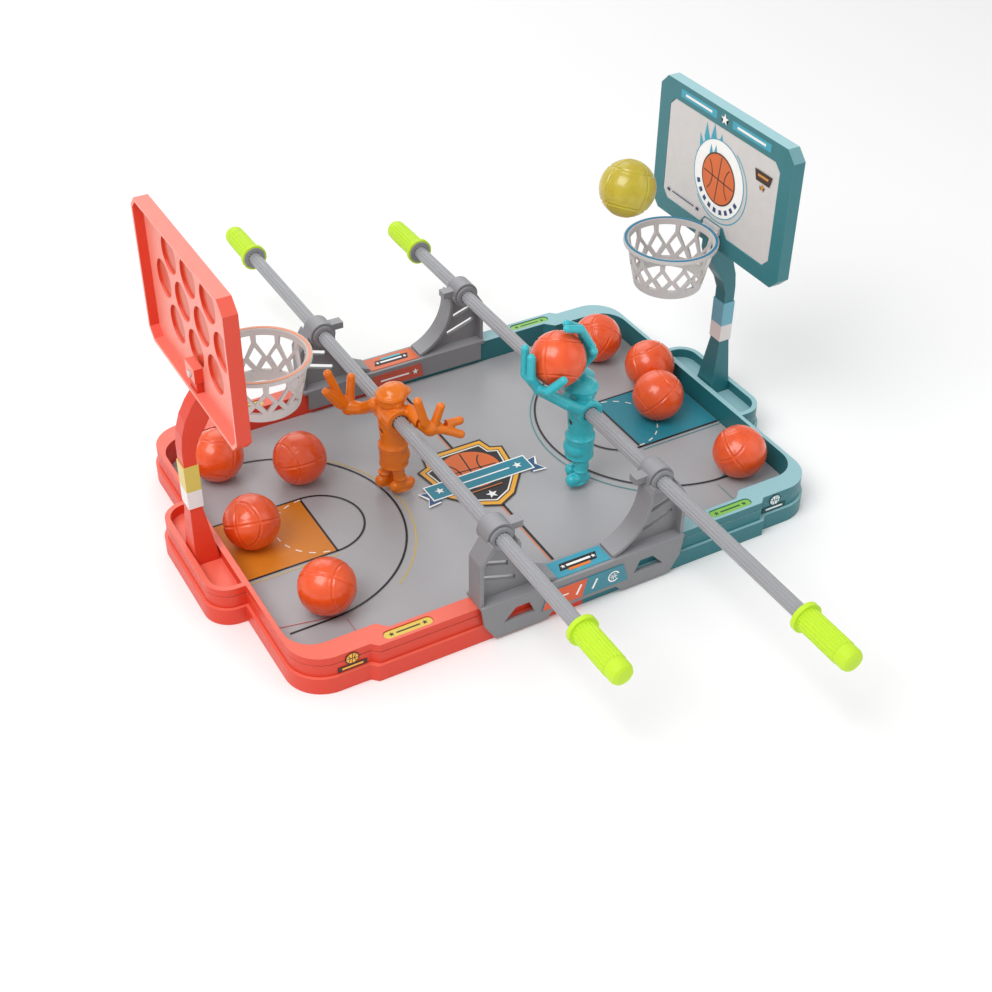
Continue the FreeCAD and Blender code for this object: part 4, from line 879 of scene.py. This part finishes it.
def seamed_ball(radius):
    """A fine ball with its seams pressed into the mesh."""
    work = bmesh.new()
    bmesh.ops.create_icosphere(work, subdivisions=7, radius=1.0)
    for vertex in work.verts:
        way = vertex.co.normalized()
        off = seam_distance(way) * radius
        groove = SEAM_DEPTH_MM * math.exp(-(off / SEAM_WIDTH_MM) ** 2)
        ridge = RIDGE_MM * math.exp(-((off - RIDGE_OUT * SEAM_WIDTH_MM) / SEAM_WIDTH_MM) ** 2)
        vertex.co = way * (radius - RIDGE_MM + ridge - groove) * MM
    mesh = bpy.data.meshes.new("seamed_ball")
    work.to_mesh(mesh)
    work.free()
    for polygon in mesh.polygons:
        polygon.use_smooth = True
    return mesh


def ball_plastic(name, face, deep):
    """Tinted soft PVC: light soaks in and comes back warmer, with flow marks and a wet gloss."""
    material, tree, shader = new_material(name)
    for field, value in (("IOR", 1.52), ("Subsurface Weight", 0.22), ("Subsurface Radius", (1.0, 0.35, 0.12)),
                         ("Subsurface Scale", 6 * MM), ("Coat Weight", 0.5), ("Coat Roughness", 0.12)):
        shader.inputs[field].default_value = value
    place = add(tree, "TexCoord").outputs["Object"]
    flow = add(tree, "TexNoise", inputs={"Vector": place, "Scale": 1000 / FLOW_MM, "Detail": 3.0,
                                         "Distortion": 1.6})
    pebble = add(tree, "TexNoise", inputs={"Vector": place, "Scale": 1000 / PEBBLE_MM, "Detail": 2.0})
    tree.links.new(blend(tree, flow.outputs[0], linear(deep), linear(face)), shader.inputs["Base Color"])
    gloss = add(tree, "MapRange", inputs={"Value": flow.outputs[0], "To Min": 0.24, "To Max": 0.42})
    tree.links.new(gloss.outputs[0], shader.inputs["Roughness"])
    bump = add(tree, "Bump", inputs={"Strength": 0.1, "Distance": GRAIN_DEPTH_MM * MM,
                                     "Height": pebble.outputs[0]})
    tree.links.new(bump.outputs[0], shader.inputs["Normal"])
    return material


orange_ball = ball_plastic("orange PVC, tinted, glossy", "#F8641E", "#DE430F")
yellow_ball = ball_plastic("yellow PVC, tinted, glossy", "#CFBE2E", "#A8951A")
turns = random.Random(7)
ball_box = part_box("ball_held")
orange_mesh = seamed_ball((ball_box[1].z - ball_box[0].z) / 2 / MM)
orange_mesh.materials.append(orange_ball)
yellow_mesh = orange_mesh.copy()
yellow_mesh.materials.clear()
yellow_mesh.materials.append(yellow_ball)
for node in sorted(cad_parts):
    if not node.startswith("ball_"):
        continue
    low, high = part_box(node)
    mesh = (yellow_mesh if node == "ball_yellow" else orange_mesh).copy()
    roll = Euler([turns.uniform(0, math.tau) for _ in range(3)]).to_matrix().to_4x4()
    mesh.transform(Matrix.Translation((low + high) / 2) @ roll)
    piece = put("seamed_" + node, mesh)
    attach(piece, "loose_" + node)
    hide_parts(node)
